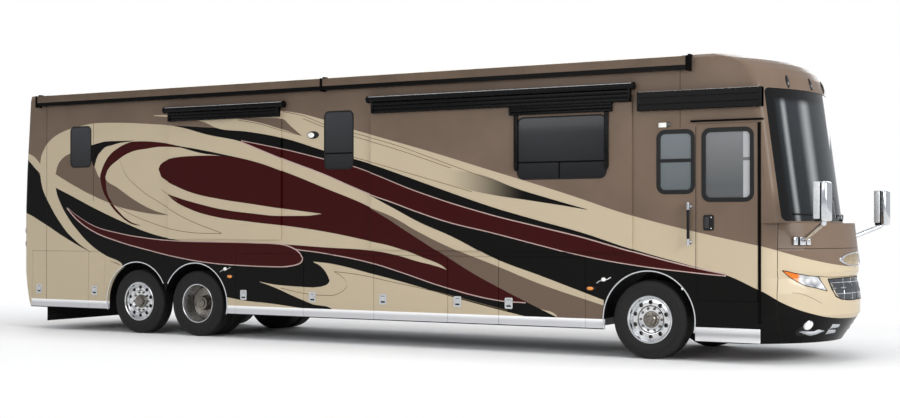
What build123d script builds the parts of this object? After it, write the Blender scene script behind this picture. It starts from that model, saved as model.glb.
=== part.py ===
from build123d import *
from math import atan2, cos, radians, sin, sqrt, tan
import os

# Motorhome with a tag axle: X forward, Y to the driver's side, Z up, millimetres.
# The origin is on the ground below the middle of the coach.
os.makedirs("parts", exist_ok=True)

# Main sizes of the coach
length = 13540
front_x = length / 2           # foremost point of the nose
rear_x = -length / 2
half_width = 1280            # outer face of the side walls
wall = 40                    # thickness of walls, doors and caps
skirt_z = 360                # lower edge of the skirt
step_z = 250                 # lower edge of the front cap beside the entry
belt_z = 1290                # top of the luggage doors, underside of the deck
eaves_z = 3690               # where the side walls meet the roof
roof_edge_z = 3860
crown_z = 3930
shoulder_r = 90              # rounding between the walls and the roof
cap_seam_x = front_x - 1885    # joint of the side walls and the front cap
rear_seam_x = rear_x + 558     # joint of the side walls and the rear cap
nose_seam_x = front_x - 658    # joint of the front cap and the nose moulding
hood_z = 1740                # top of the nose moulding
far = 8000                   # beyond the coach on every side, for cuts

# Running gear
front_overhang = 2315
rear_overhang = 3740         # tail to the drive axle
axle_spacing = 1195          # drive axle to the tag axle
front_axle_x = front_x - front_overhang
drive_axle_x = rear_x + rear_overhang
tag_axle_x = drive_axle_x - axle_spacing
wheel_r = 505
axle_z = wheel_r
steer_tyre_w = 310
rear_tyre_w = 280
tyre_bore_r = 286
tyre_shoulder = 22           # how much narrower the tread is than the tyre, each side
shoulder_drop = 16           # depth of the round between tread and side
bead_in = 45                 # from the side of a tyre to its bead
lip = 14                     # height of the rim's lip over the bead seat
steer_wheel_y = 1105         # middle plane of a front tyre
rear_wheel_y = 1110          # middle plane of the outer rear tyre
dual_pitch = 330             # outer to inner tyre of the drive axle
disc_t = 16                  # thickness of a wheel's disc
steer_disc = 75              # disc's face, outwards from the tyre's middle plane
tag_disc = 60
hub_r = 118
hand_holes = 10              # round holes in a wheel's disc, and as many nuts
hand_r = 27
hand_circle = 212            # radius of the circle they lie on
deep_circle = 185            # the same in the deep drive wheel
nut_circle = 143
nut_r = 18
nut_t = 34
hub_cap = 85                 # how far the hub stands out from the disc
spindle_r = 45
spindle_reach = 40           # how far a spindle goes past the disc's face
spindle_fit = 0.05           # running clearance of a wheel on its spindle
end_gap = 5                  # clearance at a spindle's end
king_pin_y = 905
king_pin_r = 25
beam_half = 60               # half height of the axle beam's ends
boss_r = 55
knuckle_out = 100            # king pin to the knuckle's flange
arch_r = 622
arch_z = 500
arch_gap_z = 800             # lower end of the trim between the rear arches
trim_w = 14
trim_t = 8
liner_r = 640
liner_t = 10

# Frame and floor
rail_y = 430                 # middle of each chassis rail
rail_w = 80
rail_h = 250
deck_t = 50
deck_front_x = front_x - 890
bay_floor_z = 365
bay_wall_t = 30
stair_t = 40

# Doors, windows and rooms
door_gap = 8                 # seam round each door
hinge_in = 12                # hinge line, inwards from the door's edge and outer face
hinge_r = 6
seat_gap = 0.3               # a hinge pin's clearance at its seat
bay_span = (drive_axle_x + 785, front_axle_x - 884)   # luggage bays, between the wheel arches
bay_edges = {
    -1: (bay_span[0], -972, 259, 1481, 2280, bay_span[1]),
    1: (bay_span[0], -791, 663, 2117, bay_span[1]),
}
rear_bay = (rear_x + 235, rear_x + 1499)
side_bay = (rear_bay[1], rear_bay[1] + 350)           # narrow door behind the rear wheels, kerb side
entry_x = (front_x - 1665, front_x - 874)
entry_z = (770, 2985)
engine_door = (520, 430, 1230)   # half width, lower and upper edge

room_depth = 740
room_flange = 25             # how far the face overlaps the wall round the opening
room_gap = 12                # clearance of a room in its opening
face_gap = 5                 # seal gap between the face and the wall
face_t = 22
runner_w = 100
# name: side, x from, x to, z from, z to of the face panel
rooms = {
    "right_front": (-1, 215, front_axle_x - 217, 1365, 3420),
    "right_rear": (-1, drive_axle_x - 530, -1375, 1495, 3420),
    "left": (1, -1900, front_axle_x - 405, 1365, 3420),
}
window_corner = 70
pane_t = 8
pane_in = 10                 # glass set back from the outer face
# side, x from, x to, z from, z to of each window opening
wall_windows = (
    (-1, rear_seam_x + 546, rear_seam_x + 991, 2658, 3311),
    (-1, -598, -98, 2530, 3360),
    (-1, front_x - 2193, front_x - 1699, 2118, 2914),
    (1, rear_seam_x + 546, rear_seam_x + 1646, 2530, 3311),
    (1, drive_axle_x - 470, drive_axle_x + 330, 2530, 3311),
    (1, front_x - 1820, front_x - 940, 2030, 2919),
)
room_windows = {
    "right_front": (front_axle_x - 1875, front_axle_x - 575, 2330, 3150),
    "left": (300, 2100, 2330, 3150),
}
entry_window = (entry_x[0] + 74, entry_x[1] - 61, 2015, 2919)
screen_window = (1190, 1765, 3415)   # half width, lower and upper edge

# Nose and windscreen: height and foremost x of each horizontal section
nose_sections = (
    (step_z, front_x - 240), (540, front_x - 42), (600, front_x - 5), (870, front_x),
    (1060, front_x - 52), (1130, front_x - 22), (1400, front_x - 32), (hood_z, front_x - 73),
)
nose_plan = (1450, 300)      # radius of the curved front, radius of the corners
screen_plan = (2200, 120)
screen_foot_x = front_x - 252
screen_angle = 82.25         # slope of the windscreen
brow_z = 3463                # top of the straight windscreen
brow_r = 404
roof_curve_r = 3564
roof_curve_angle = 15.9      # slope where the brow runs into the roof's long curve
screen_back_x = front_x - 2470

screen_slack = 0.5           # the windscreen's form is this much wider than the section that trims it

# Tail, the same way: height and distance of the rearmost point from the middle
rear_sections = (
    (skirt_z, -rear_x - 115), (490, -rear_x - 70), (720, -rear_x - 28), (950, -rear_x - 2), (2000, -rear_x),
    (2600, -rear_x - 25), (3780, -rear_x - 105), (roof_edge_z, -rear_x - 130), (crown_z + 5, -rear_x - 210),
)
rear_plan = (25000, 90)


def save(part, name):
    part.label = name
    export_step(part, f"parts/{name}.step")


def block(x, y, z, mode=Mode.ADD):
    """A box between pairs of limits, in the builder that is open."""
    with Locations(((x[0] + x[1]) / 2, (y[0] + y[1]) / 2, (z[0] + z[1]) / 2)):
        Box(abs(x[1] - x[0]), abs(y[1] - y[0]), abs(z[1] - z[0]), mode=mode)


def rod(x, z, y_from, y_to, radius, mode=Mode.ADD):
    """A cylinder along Y, in the builder that is open."""
    with Locations(Pos(x, (y_from + y_to) / 2, z) * Rot(90, 0, 0)):
        Cylinder(radius, abs(y_to - y_from), mode=mode)


def disc(y, z, x_from, x_to, radius, mode=Mode.ADD):
    """A cylinder along X, in the builder that is open."""
    with Locations(Pos((x_from + x_to) / 2, y, z) * Rot(0, 90, 0)):
        Cylinder(radius, abs(x_to - x_from), mode=mode)


def side_plate(side, inner, outer, x, z, corner, mode=Mode.ADD):
    """A rounded plate in the plane of a side wall, between two distances from the middle."""
    with BuildSketch(Plane.XZ.offset(-side * inner)) as outline:
        with Locations(((x[0] + x[1]) / 2, (z[0] + z[1]) / 2)):
            RectangleRounded(x[1] - x[0], z[1] - z[0], corner)
    extrude(outline.sketch, amount=side * (inner - outer), mode=mode)


def arch_cut(side, x):
    """Opens a wheel arch in the side of the builder that is open."""
    inner, outer = side * (half_width - 2 * wall), side * (half_width + wall)
    rod(x, arch_z, inner, outer, arch_r, Mode.SUBTRACT)
    block((x - arch_r, x + arch_r), (inner, outer), (0, arch_z), Mode.SUBTRACT)


def plan_section(z, tip_x, plan, inset, back_x, facing, slack=0):
    """One horizontal section of a cap: straight sides, round corners and a curved front."""
    front_r, corner_r = plan[0] - inset, plan[1] - inset
    centre_x = tip_x - front_r
    side_y = half_width + slack - inset
    corner_y = side_y - corner_r
    corner_x = centre_x + sqrt((front_r - corner_r) ** 2 - corner_y**2)
    turn = atan2(corner_y, corner_x - centre_x)
    middle = (turn + radians(90)) / 2
    touch = (facing * (centre_x + front_r * cos(turn)), front_r * sin(turn))
    bend = (facing * (corner_x + corner_r * cos(middle)), corner_y + corner_r * sin(middle))
    corner, tip, back = facing * corner_x, facing * tip_x, facing * back_x
    with BuildSketch(Plane.XY.offset(z)) as section:
        with BuildLine():
            Line((back, -side_y), (corner, -side_y))
            ThreePointArc((corner, -side_y), (bend[0], -bend[1]), (touch[0], -touch[1]))
            ThreePointArc((touch[0], -touch[1]), (tip, 0), touch)
            ThreePointArc(touch, bend, (corner, side_y))
            Line((corner, side_y), (back, side_y))
            Line((back, side_y), (back, -side_y))
        make_face()
    return section.sketch


def plan_loft(sections, plan, inset, back_x, facing=1):
    """A solid through horizontal sections, as (height, foremost x) pairs."""
    with BuildPart() as solid:
        loft([plan_section(z, tip_x, plan, inset, back_x, facing) for z, tip_x in sections], ruled=True)
    return solid.part


def crown_solid(inset, x_from, x_to):
    """The coach's section along its length: straight sides, round shoulders, crowned roof."""
    side = half_width - inset
    edge = roof_edge_z - inset
    with BuildPart() as solid:
        with BuildSketch(Plane.YZ.offset(x_from)) as outline:
            with BuildLine():
                Line((side, 0), (side, edge))
                ThreePointArc((side, edge), (0, crown_z - inset), (-side, edge))
                Line((-side, edge), (-side, 0))
                Line((-side, 0), (side, 0))
            make_face()
            fillet(outline.vertices().group_by(Axis.Z)[-1], radius=shoulder_r - inset)
        extrude(amount=x_to - x_from)
    return solid.part


def nose_solid(inset):
    levels = [(z, x - inset) for z, x in nose_sections]
    if inset:
        levels[0] = (levels[0][0] - wall, levels[0][1])
        levels[-1] = (levels[-1][0] - inset, levels[-1][1])
    return plan_loft(levels, nose_plan, inset, cap_seam_x - inset)


def screen_levels(inset):
    """Windscreen and brow as seen from the side: a straight screen and two arcs."""
    slope, meet = radians(screen_angle), radians(roof_curve_angle)
    brow_x = screen_foot_x - (brow_z - hood_z) / tan(slope)
    centre_x, centre_z = brow_x - brow_r * sin(slope), brow_z - brow_r * cos(slope)
    far_x = centre_x + (brow_r - roof_curve_r) * sin(meet)
    far_z = centre_z + (brow_r - roof_curve_r) * cos(meet)
    levels = [(hood_z - inset, screen_foot_x - inset)]
    for angle in (screen_angle, 66, 49, 32, roof_curve_angle):
        reach = brow_r - inset
        levels.append((centre_z + reach * cos(radians(angle)), centre_x + reach * sin(radians(angle))))
    for angle in (8, 0):
        reach = roof_curve_r - inset
        levels.append((far_z + reach * cos(radians(angle)), far_x + reach * sin(radians(angle))))
    return levels


def screen_solid(inset):
    plan = (screen_plan[0] + screen_slack, screen_plan[1] + screen_slack)
    levels = screen_levels(inset)
    with BuildPart() as solid:
        sections = [plan_section(z, x, plan, inset, screen_back_x, 1, screen_slack) for z, x in levels]
        loft(sections, ruled=True)
    return solid.part


def crowned(solid, inset, x_from, x_to):
    """What of a solid lies within the coach's section."""
    with BuildPart() as trimmed:
        add(solid)
        add(crown_solid(inset, x_from, x_to), mode=Mode.INTERSECT)
    return trimmed.part


def rear_solid(inset):
    levels = [(z, x - inset) for z, x in rear_sections]
    if inset:
        levels[0] = (levels[0][0] - wall, levels[0][1])
        levels[-1] = (levels[-1][0] - inset, levels[-1][1])
    return plan_loft(levels, rear_plan, inset, -rear_seam_x - inset, facing=-1)


# Chassis frame: two rails, cross members and air springs fitted to them, and the tow hitch
rail_inner = rail_y - rail_w / 2
rail_outer = rail_y + rail_w / 2
rail_low_z = belt_z - rail_h
frame_x = (rear_x + 350, front_x - 770)
members_x = (
    tag_axle_x - 475, drive_axle_x - 610, drive_axle_x + 670, *bay_edges[-1][1:-1],
    front_axle_x - 975, front_axle_x + 745, front_x - 810,
)
member_w = 80
member_drop = 70             # how far a cross member stands above the rails' lower face
hitch_x = (rear_x + 120, rear_x + 446)
hitch_z = 310
hitch_half = 38
hitch_bore = 32
hitch_pin_r = 8.25
hitch_pin_x = hitch_x[0] + 50
pad = 120
pad_x = front_x - 1470
pad_t = 20
spring_feet = {front_axle_x: axle_z + beam_half, drive_axle_x: axle_z + 90, tag_axle_x: axle_z + 75}
spring_top = rail_low_z - seat_gap
with BuildPart() as chassis_frame:
    for side in (-1, 1):
        block(frame_x, (side * rail_inner, side * rail_outer), (rail_low_z, belt_z))
        block((hitch_x[1], hitch_x[1] + 60), (side * rail_inner, side * rail_outer),
              (hitch_z - hitch_half, spring_top))
        block((pad_x - pad / 2, pad_x + pad / 2), (side * (rail_y - pad / 2), side * (rail_y + pad / 2)),
              (rail_low_z - pad_t, rail_low_z))
        for x, foot in spring_feet.items():
            with BuildSketch(Plane.XZ.offset(-side * rail_y)):
                with BuildLine():
                    Polyline((x, foot), (x + 60, foot), (x + 60, foot + 150), (x + 110, foot + 190))
                    ThreePointArc((x + 110, foot + 190), (x + 125, foot + 245), (x + 110, foot + 300))
                    Polyline((x + 110, foot + 300), (x + 80, spring_top), (x, spring_top), (x, foot))
                make_face()
            revolve(axis=Axis((x, side * rail_y, 0), (0, 0, 1)))
    for x in members_x:
        block((x - member_w / 2, x + member_w / 2), (seat_gap - rail_inner, rail_inner - seat_gap),
              (rail_low_z + member_drop, belt_z))
    block((hitch_x[1], hitch_x[1] + 60), (-rail_inner, rail_inner), (hitch_z - hitch_half, hitch_z + hitch_half))
    block(hitch_x, (-hitch_half, hitch_half), (hitch_z - hitch_half, hitch_z + hitch_half))
    block((hitch_x[0], hitch_x[1] - 40), (-hitch_bore, hitch_bore), (hitch_z - hitch_bore, hitch_z + hitch_bore),
          Mode.SUBTRACT)
    rod(hitch_pin_x, hitch_z, hitch_half + 5, -hitch_half - 5, hitch_pin_r, Mode.SUBTRACT)
save(chassis_frame.part, "chassis_frame")

# Engine, one plain block between the rails
engine_x = (rear_x + 670, rear_x + 1870)
engine_z = (560, 1270)
with BuildPart() as engine_block:
    block(engine_x, (-rail_inner, rail_inner), engine_z)
    chamfer(engine_block.edges().filter_by(Axis.X).group_by(Axis.Z)[0], 120)
save(engine_block.part, "engine_block")

# Front axle: a dropped beam with a king pin at each end
beam_z = (axle_z - beam_half, axle_z + beam_half)
king_z = (axle_z - 150, axle_z + 150)
drop = 110
with BuildPart() as front_axle:
    with BuildSketch(Plane.YZ.offset(front_axle_x - 50)):
        with BuildLine():
            Polyline((-king_pin_y, beam_z[0]), (-700, beam_z[0]), (-600, beam_z[0] - drop), (600, beam_z[0] - drop),
                     (700, beam_z[0]), (king_pin_y, beam_z[0]), (king_pin_y, beam_z[1]), (-king_pin_y, beam_z[1]),
                     close=True)
        make_face()
    extrude(amount=100)
    for side in (-1, 1):
        with Locations((front_axle_x, side * king_pin_y, axle_z)):
            Cylinder(boss_r, 2 * beam_half)
            Cylinder(king_pin_r, king_z[1] - king_z[0])
save(front_axle.part, "front_axle")

# Steering knuckles: two ears on the king pin, a flange and the wheel's spindle
for side, word in ((-1, "right"), (1, "left")):
    pin_y = side * king_pin_y
    flange_y = side * (king_pin_y + knuckle_out)
    spindle_y = side * (steer_wheel_y + steer_disc + spindle_reach)
    with BuildPart() as knuckle:
        for low, high in ((king_z[0], beam_z[0] - end_gap), (beam_z[1] + end_gap, king_z[1])):
            with Locations((front_axle_x, pin_y, (low + high) / 2)):
                Cylinder(boss_r, high - low)
            block((front_axle_x - 50, front_axle_x + 50), (pin_y, flange_y), (low, high))
        block((front_axle_x - 60, front_axle_x + 60), (flange_y - side * 36, flange_y), king_z)
        block((front_axle_x - 260, front_axle_x), (pin_y - 25, pin_y + 25), (king_z[0], king_z[0] + 30))
        rod(front_axle_x, axle_z, flange_y, spindle_y, spindle_r)
        with Locations((front_axle_x, pin_y, axle_z)):
            Cylinder(king_pin_r + spindle_fit, 2 * wheel_r, mode=Mode.SUBTRACT)
    save(knuckle.part, f"knuckle_{word}")

# Rear axles: the drive axle with its differential and the plain tag axle, with spring pads
tag_reach = rear_wheel_y + tag_disc + spindle_reach
with BuildPart() as rear_axles:
    for x, tube_r, reach in ((drive_axle_x, 75, rear_wheel_y), (tag_axle_x, 60, tag_reach)):
        rod(x, axle_z, -560, 560, tube_r)
        rod(x, axle_z, -reach, reach, spindle_r)
        for side in (-1, 1):
            block((x - 70, x + 70), (side * (rail_y - 60), side * (rail_y + 60)), (axle_z, spring_feet[x]))
    with Locations((drive_axle_x, 0, axle_z)):
        Sphere(190)
save(rear_axles.part, "rear_axles")

lip_slant = (bead_in - tyre_shoulder) / (wheel_r - tyre_bore_r) * lip
bearing_r = spindle_r + spindle_fit


def turned(points):
    """A body turned about the X axis from an outline of (outwards, radius) points."""
    with BuildPart() as body:
        with BuildSketch(Plane.XY):
            with BuildLine():
                Polyline(*points, close=True)
            make_face()
        revolve(axis=Axis.X)
    return body.part


def tyre(width):
    """A tyre that sits on its rim up to the lip, with bulging sides and round shoulders."""
    side, tread, bead = width / 2, width / 2 - tyre_shoulder, width / 2 - bead_in
    seat = (bead + lip_slant, tyre_bore_r + lip)
    shoulder = (side - tyre_shoulder / 2, wheel_r - shoulder_drop)
    with BuildPart() as body:
        with BuildSketch(Plane.XY):
            with BuildLine():
                Polyline((0, tyre_bore_r), (bead, tyre_bore_r), seat)
                ThreePointArc(seat, (side, (tyre_bore_r + wheel_r) / 2), shoulder)
                middle = (side - 0.65 * tyre_shoulder, wheel_r - shoulder_drop / 3)
                ThreePointArc(shoulder, middle, (tread, wheel_r))
                Line((tread, wheel_r), (0, wheel_r))
                mirror(about=Plane.YZ)
            make_face()
        revolve(axis=Axis.X)
    return body.part


def pierced(wheel, face, circle):
    """A turned wheel with hand holes through its disc and nuts on the disc's outer face."""
    with BuildPart() as done:
        add(wheel)
        with BuildSketch(Plane.YZ.offset(face - 3 * disc_t)):
            with PolarLocations(circle, hand_holes, start_angle=180 / hand_holes):
                Circle(hand_r)
        extrude(amount=5 * disc_t, mode=Mode.SUBTRACT)
        with BuildSketch(Plane.YZ.offset(face)):
            with PolarLocations(nut_circle, hand_holes):
                RegularPolygon(nut_r, 6)
        extrude(amount=nut_t)
    return done.part


def steer_wheel(width, face):
    """Front and tag wheel: the disc stands near the outer edge, the hub stands out of it."""
    bead = width / 2 - bead_in
    rim_end = bead + bead_in / 2
    blind = face + spindle_reach + end_gap
    outline = turned([
        (-bead, tyre_bore_r), (bead, tyre_bore_r), (bead + lip_slant, tyre_bore_r + lip),
        (rim_end, tyre_bore_r + lip), (face, tyre_bore_r - 40), (face, hub_r), (face + hub_cap, hub_r - 40),
        (face + hub_cap, 0), (blind, 0), (blind, bearing_r), (face - 4 * disc_t, bearing_r),
        (face - disc_t, hub_r), (face - disc_t, tyre_bore_r - 34), (-rim_end, tyre_bore_r - 12),
        (-bead - lip_slant, tyre_bore_r + lip),
    ])
    return pierced(outline, face, hand_circle)


def drive_wheels():
    """Twin wheels bolted back to back, about the outer tyre's middle plane, with the hub through both."""
    bead = rear_tyre_w / 2 - bead_in
    rim_end = bead + bead_in / 2
    face = dual_pitch / 2
    with BuildPart() as pair:
        for middle, way in ((0, 1), (-dual_pitch, -1)):
            outline = [
                (-bead, tyre_bore_r), (bead, tyre_bore_r), (bead + lip_slant, tyre_bore_r + lip),
                (rim_end, tyre_bore_r + lip), (bead / 2, tyre_bore_r - 30), (disc_t - face, tyre_bore_r - 70),
                (disc_t - face, hub_r - 10), (-face, hub_r - 10), (-face, tyre_bore_r - 60),
                (-rim_end, tyre_bore_r - 12), (-bead - lip_slant, tyre_bore_r + lip),
            ]
            add(turned([(middle + way * a, r) for a, r in outline]))
        add(turned([
            (-dual_pitch, bearing_r), (-dual_pitch, hub_r), (-face / 2, hub_r), (hub_cap / 2, hub_r - 40),
            (hub_cap / 2, 0), (end_gap, 0), (end_gap, bearing_r),
        ]))
    return pierced(pair.part, disc_t - face, deep_circle)


for side, word in ((-1, "right"), (1, "left")):
    turn = Rot(0, 0, side * 90)
    for axle, x, y, width, face in (
        ("front", front_axle_x, steer_wheel_y, steer_tyre_w, steer_disc),
        ("tag", tag_axle_x, rear_wheel_y, rear_tyre_w, tag_disc),
    ):
        place = Pos(x, side * y, axle_z) * turn
        save(place * tyre(width), f"tyre_{axle}_{word}")
        save(place * steer_wheel(width, face), f"wheel_{axle}_{word}")
    with BuildPart() as tyres:
        for y in (rear_wheel_y, rear_wheel_y - dual_pitch):
            add(Pos(drive_axle_x, side * y, axle_z) * turn * tyre(rear_tyre_w))
    save(tyres.part, f"tyres_drive_{word}")
    save(Pos(drive_axle_x, side * rear_wheel_y, axle_z) * turn * drive_wheels(), f"wheels_drive_{word}")
print("running gear done")

# Floor deck with the entry stairs and the runners that the rooms slide on
deck_top_z = belt_z + deck_t
side_in = half_width - wall
stair_y = -640
stairs = ((-1225, 790), (-940, 1060), (stair_y, belt_z))   # tread's outer edge and height
nose_inner = nose_solid(wall)
with BuildPart() as floor_deck:
    block((deck_front_x - 5, far), (-far, far), (belt_z, deck_top_z))
    add(nose_inner, mode=Mode.INTERSECT)
    block((rear_x + 620, deck_front_x), (-side_in, side_in), (belt_z, deck_top_z))
    block(entry_x, (-side_in - 5, stair_y), (0, deck_top_z + 5), Mode.SUBTRACT)
    for i, (y, z) in enumerate(stairs[:-1]):
        inner_y, next_z = stairs[i + 1]
        block(entry_x, (y, inner_y), (z - stair_t, z))
        block(entry_x, (inner_y, inner_y + stair_t), (z - stair_t, next_z))
    for side, x_from, x_to, z_from, z_to in rooms.values():
        under = z_from + room_flange + room_gap
        for x in (x_from + 500, x_to - 500):
            block((x - runner_w / 2, x + runner_w / 2), (side * (half_width - room_depth), side * side_in),
                  (deck_top_z, under - seat_gap))
save(floor_deck.part, "floor_deck")

# Luggage bays: a floor pan under the deck, parted by cross walls and a middle wall that stand on it
bay_y = side_in - 5
pan_top_z = bay_floor_z + bay_wall_t + seat_gap
with BuildPart() as luggage_bays:
    block(bay_span, (-bay_y, bay_y), (bay_floor_z, bay_floor_z + bay_wall_t))
    block(bay_span, (-bay_wall_t / 2, bay_wall_t / 2), (pan_top_z, rail_low_z))
    for side in (-1, 1):
        for x in bay_edges[side]:
            start = min(max(x - bay_wall_t / 2, bay_span[0]), bay_span[1] - bay_wall_t)
            block((start, start + bay_wall_t), (side * (bay_wall_t / 2 + seat_gap), side * bay_y),
                  (pan_top_z, rail_low_z))
            block((start, start + bay_wall_t), (side * rail_outer, side * bay_y), (rail_low_z, belt_z))
save(luggage_bays.part, "luggage_bays")

# Side walls from the rear cap to the front cap, with doorways, arches, room openings and windows
for side, word in ((-1, "right"), (1, "left")):
    wall_y = (side * side_in, side * half_width)
    with BuildPart() as side_wall:
        block((rear_seam_x, cap_seam_x), wall_y, (belt_z, eaves_z))
        block((side_bay[1] if side < 0 else rear_bay[1], cap_seam_x), wall_y, (skirt_z, belt_z))
        block(bay_span, wall_y, (skirt_z, belt_z), Mode.SUBTRACT)
        for x in (front_axle_x, drive_axle_x, tag_axle_x):
            arch_cut(side, x)
        for room_side, x_from, x_to, z_from, z_to in rooms.values():
            if room_side == side:
                block((x_from + room_flange, x_to - room_flange), wall_y,
                      (z_from + room_flange, z_to - room_flange), Mode.SUBTRACT)
        for window_side, x_from, x_to, z_from, z_to in wall_windows:
            if window_side == side and x_from < cap_seam_x:
                side_plate(side, side_in - 1, half_width + 1, (x_from, x_to), (z_from, z_to), window_corner,
                           Mode.SUBTRACT)
    save(side_wall.part, f"side_wall_{word}")

# Roof between the caps
with BuildPart() as roof_shell:
    add(crown_solid(0, rear_seam_x, cap_seam_x))
    add(crown_solid(wall, rear_seam_x, cap_seam_x), mode=Mode.SUBTRACT)
    block((rear_seam_x, cap_seam_x), (-half_width, half_width), (0, eaves_z), Mode.SUBTRACT)
save(roof_shell.part, "roof_shell")
print("body shell done")


prism_x = nose_seam_x - 512


def front_prism(points, mirrored=1):
    """A bar along X from an outline of (y, z) points seen from the front."""
    with BuildPart() as prism:
        with BuildSketch(Plane.YZ.offset(prism_x)):
            with BuildLine():
                Polyline(*[(mirrored * y, z) for y, z in points], close=True)
            make_face()
        extrude(amount=far - prism_x)
    return prism.part


def screen_prism():
    half, low, high = screen_window
    with BuildPart() as prism:
        with BuildSketch(Plane.YZ.offset(prism_x)):
            with Locations((0, (low + high) / 2)):
                RectangleRounded(2 * half, high - low, window_corner)
        extrude(amount=far - prism_x)
    return prism.part


def upper_front(inset):
    return crowned(screen_solid(inset), inset, cap_seam_x - 2 * wall, far)


# Front cap and nose moulding, cut from one hollow form along their seam
grille_outline = ((-610, 1045), (610, 1045), (560, 860), (440, 780), (-440, 780), (-560, 860))
headlamp_outline = ((1215, 1180), (960, 1150), (780, 1090), (640, 960), (650, 885), (850, 885), (1060, 985))
fog_lamp = (900, 410, 62)    # y, z and radius
lamp_t = 34
with BuildPart() as neck:
    top_x = nose_sections[-1][1] - wall
    add(plan_section(hood_z - wall, top_x, nose_plan, wall, cap_seam_x - wall, 1))
    extrude(amount=wall + 1)
    add(upper_front(wall), mode=Mode.INTERSECT)
with BuildPart() as cab_hollow:
    add(upper_front(wall))
    block((0, far), (-far, far), (0, hood_z), Mode.SUBTRACT)
    add(neck.part)
with BuildPart() as front_shell:
    add(nose_solid(0))
    add(upper_front(0))
    add(nose_inner, mode=Mode.SUBTRACT)
    add(cab_hollow.part, mode=Mode.SUBTRACT)
    block((0, cap_seam_x), (-far, far), (0, far), Mode.SUBTRACT)
    for side in (-1, 1):
        arch_cut(side, front_axle_x)
    add(screen_prism(), mode=Mode.SUBTRACT)
    block(entry_x, (-half_width - 5, -side_in + 5), entry_z, Mode.SUBTRACT)
    for side, x_from, x_to, z_from, z_to in wall_windows:
        if x_to > cap_seam_x:
            side_plate(side, side_in - 5, half_width + 5, (x_from, x_to), (z_from, z_to), window_corner,
                       Mode.SUBTRACT)
with BuildPart() as front_cap:
    add(front_shell.part)
    block((nose_seam_x, far), (-far, far), (0, hood_z), Mode.SUBTRACT)
save(front_cap.part, "front_cap")
with BuildPart() as front_nose:
    add(front_shell.part)
    block((nose_seam_x, far), (-far, far), (0, hood_z), Mode.INTERSECT)
    add(front_prism(grille_outline), mode=Mode.SUBTRACT)
    for side in (-1, 1):
        add(front_prism(headlamp_outline, side), mode=Mode.SUBTRACT)
        disc(side * fog_lamp[0], fog_lamp[1], nose_seam_x, far, fog_lamp[2], Mode.SUBTRACT)
save(front_nose.part, "front_nose")
print("front done")

# Rear cap with its engine doorway and the tail lamps' holes
lamp_y, lamp_r = 1120, 100
lamp_heights = (1405, 1620)
lamp_x = (rear_x + 4, rear_x + 210)
lid_depth = 270
door_half, door_low, door_high = engine_door
with BuildPart() as rear_shell:
    add(crowned(rear_solid(0), 0, -far, rear_seam_x))
    add(crowned(rear_solid(wall), wall, -far, rear_seam_x + wall), mode=Mode.SUBTRACT)
    block((rear_bay[0], 0), (-far, far), (0, belt_z), Mode.SUBTRACT)
with BuildPart() as rear_cap:
    add(rear_shell.part)
    block((-far, rear_x + lid_depth), (-door_half, door_half), (door_low, door_high), Mode.SUBTRACT)
    for side in (-1, 1):
        for z in lamp_heights:
            disc(side * lamp_y, z, -far, lamp_x[1], lamp_r + seat_gap, Mode.SUBTRACT)
save(rear_cap.part, "rear_cap")
with BuildPart() as engine_lid:
    add(rear_shell.part)
    block((-far, rear_x + lid_depth), (-door_half + door_gap, door_half - door_gap),
          (door_low + door_gap, door_high - door_gap), Mode.INTERSECT)
    tab_z = (door_high - 2 * door_gap, door_high - seat_gap)
    for y in (-300, 300):
        block((rear_x + 25, rear_x + wall), (y - 30, y + 30), tab_z)
save(engine_lid.part, "engine_door")


def door_panel(side, x, z):
    """A side door: a plate with a round front edge on its hinge line and a pin at the top."""
    low, high = z[0] + door_gap / 2, z[1] - door_gap / 2
    hinge = (x[1] - door_gap / 2 - hinge_in, side * (half_width - hinge_in))
    block((x[0] + door_gap / 2, hinge[0]), (side * side_in, side * half_width), (low, high))
    block((hinge[0], hinge[0] + hinge_in), (side * side_in, hinge[1]), (low, high))
    with Locations((hinge[0], hinge[1], (low + high) / 2)):
        Cylinder(hinge_in, high - low)
    with Locations((hinge[0], hinge[1], (high - hinge_r + z[1] - seat_gap) / 2)):
        Cylinder(hinge_r, z[1] - seat_gap - high + hinge_r)


# Entry door with its window
with BuildPart() as entry_door:
    door_panel(-1, entry_x, entry_z)
    side_plate(-1, side_in - 1, half_width + 1, entry_window[:2], entry_window[2:], window_corner, Mode.SUBTRACT)
save(entry_door.part, "entry_door")
pane = (half_width - pane_in - pane_t, half_width - pane_in)
with BuildPart() as entry_door_window:
    side_plate(-1, *pane, entry_window[:2], entry_window[2:], window_corner)
save(entry_door_window.part, "entry_door_window")

# Luggage doors, numbered from the rear
for side, word in ((-1, "right"), (1, "left")):
    spans = [rear_bay] + ([side_bay] if side < 0 else []) + list(zip(bay_edges[side][:-1], bay_edges[side][1:]))
    for number, span in enumerate(spans, 1):
        with BuildPart() as bay_door:
            door_panel(side, span, (skirt_z - door_gap / 2, belt_z))
        save(bay_door.part, f"bay_door_{word}_{number}")

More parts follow.
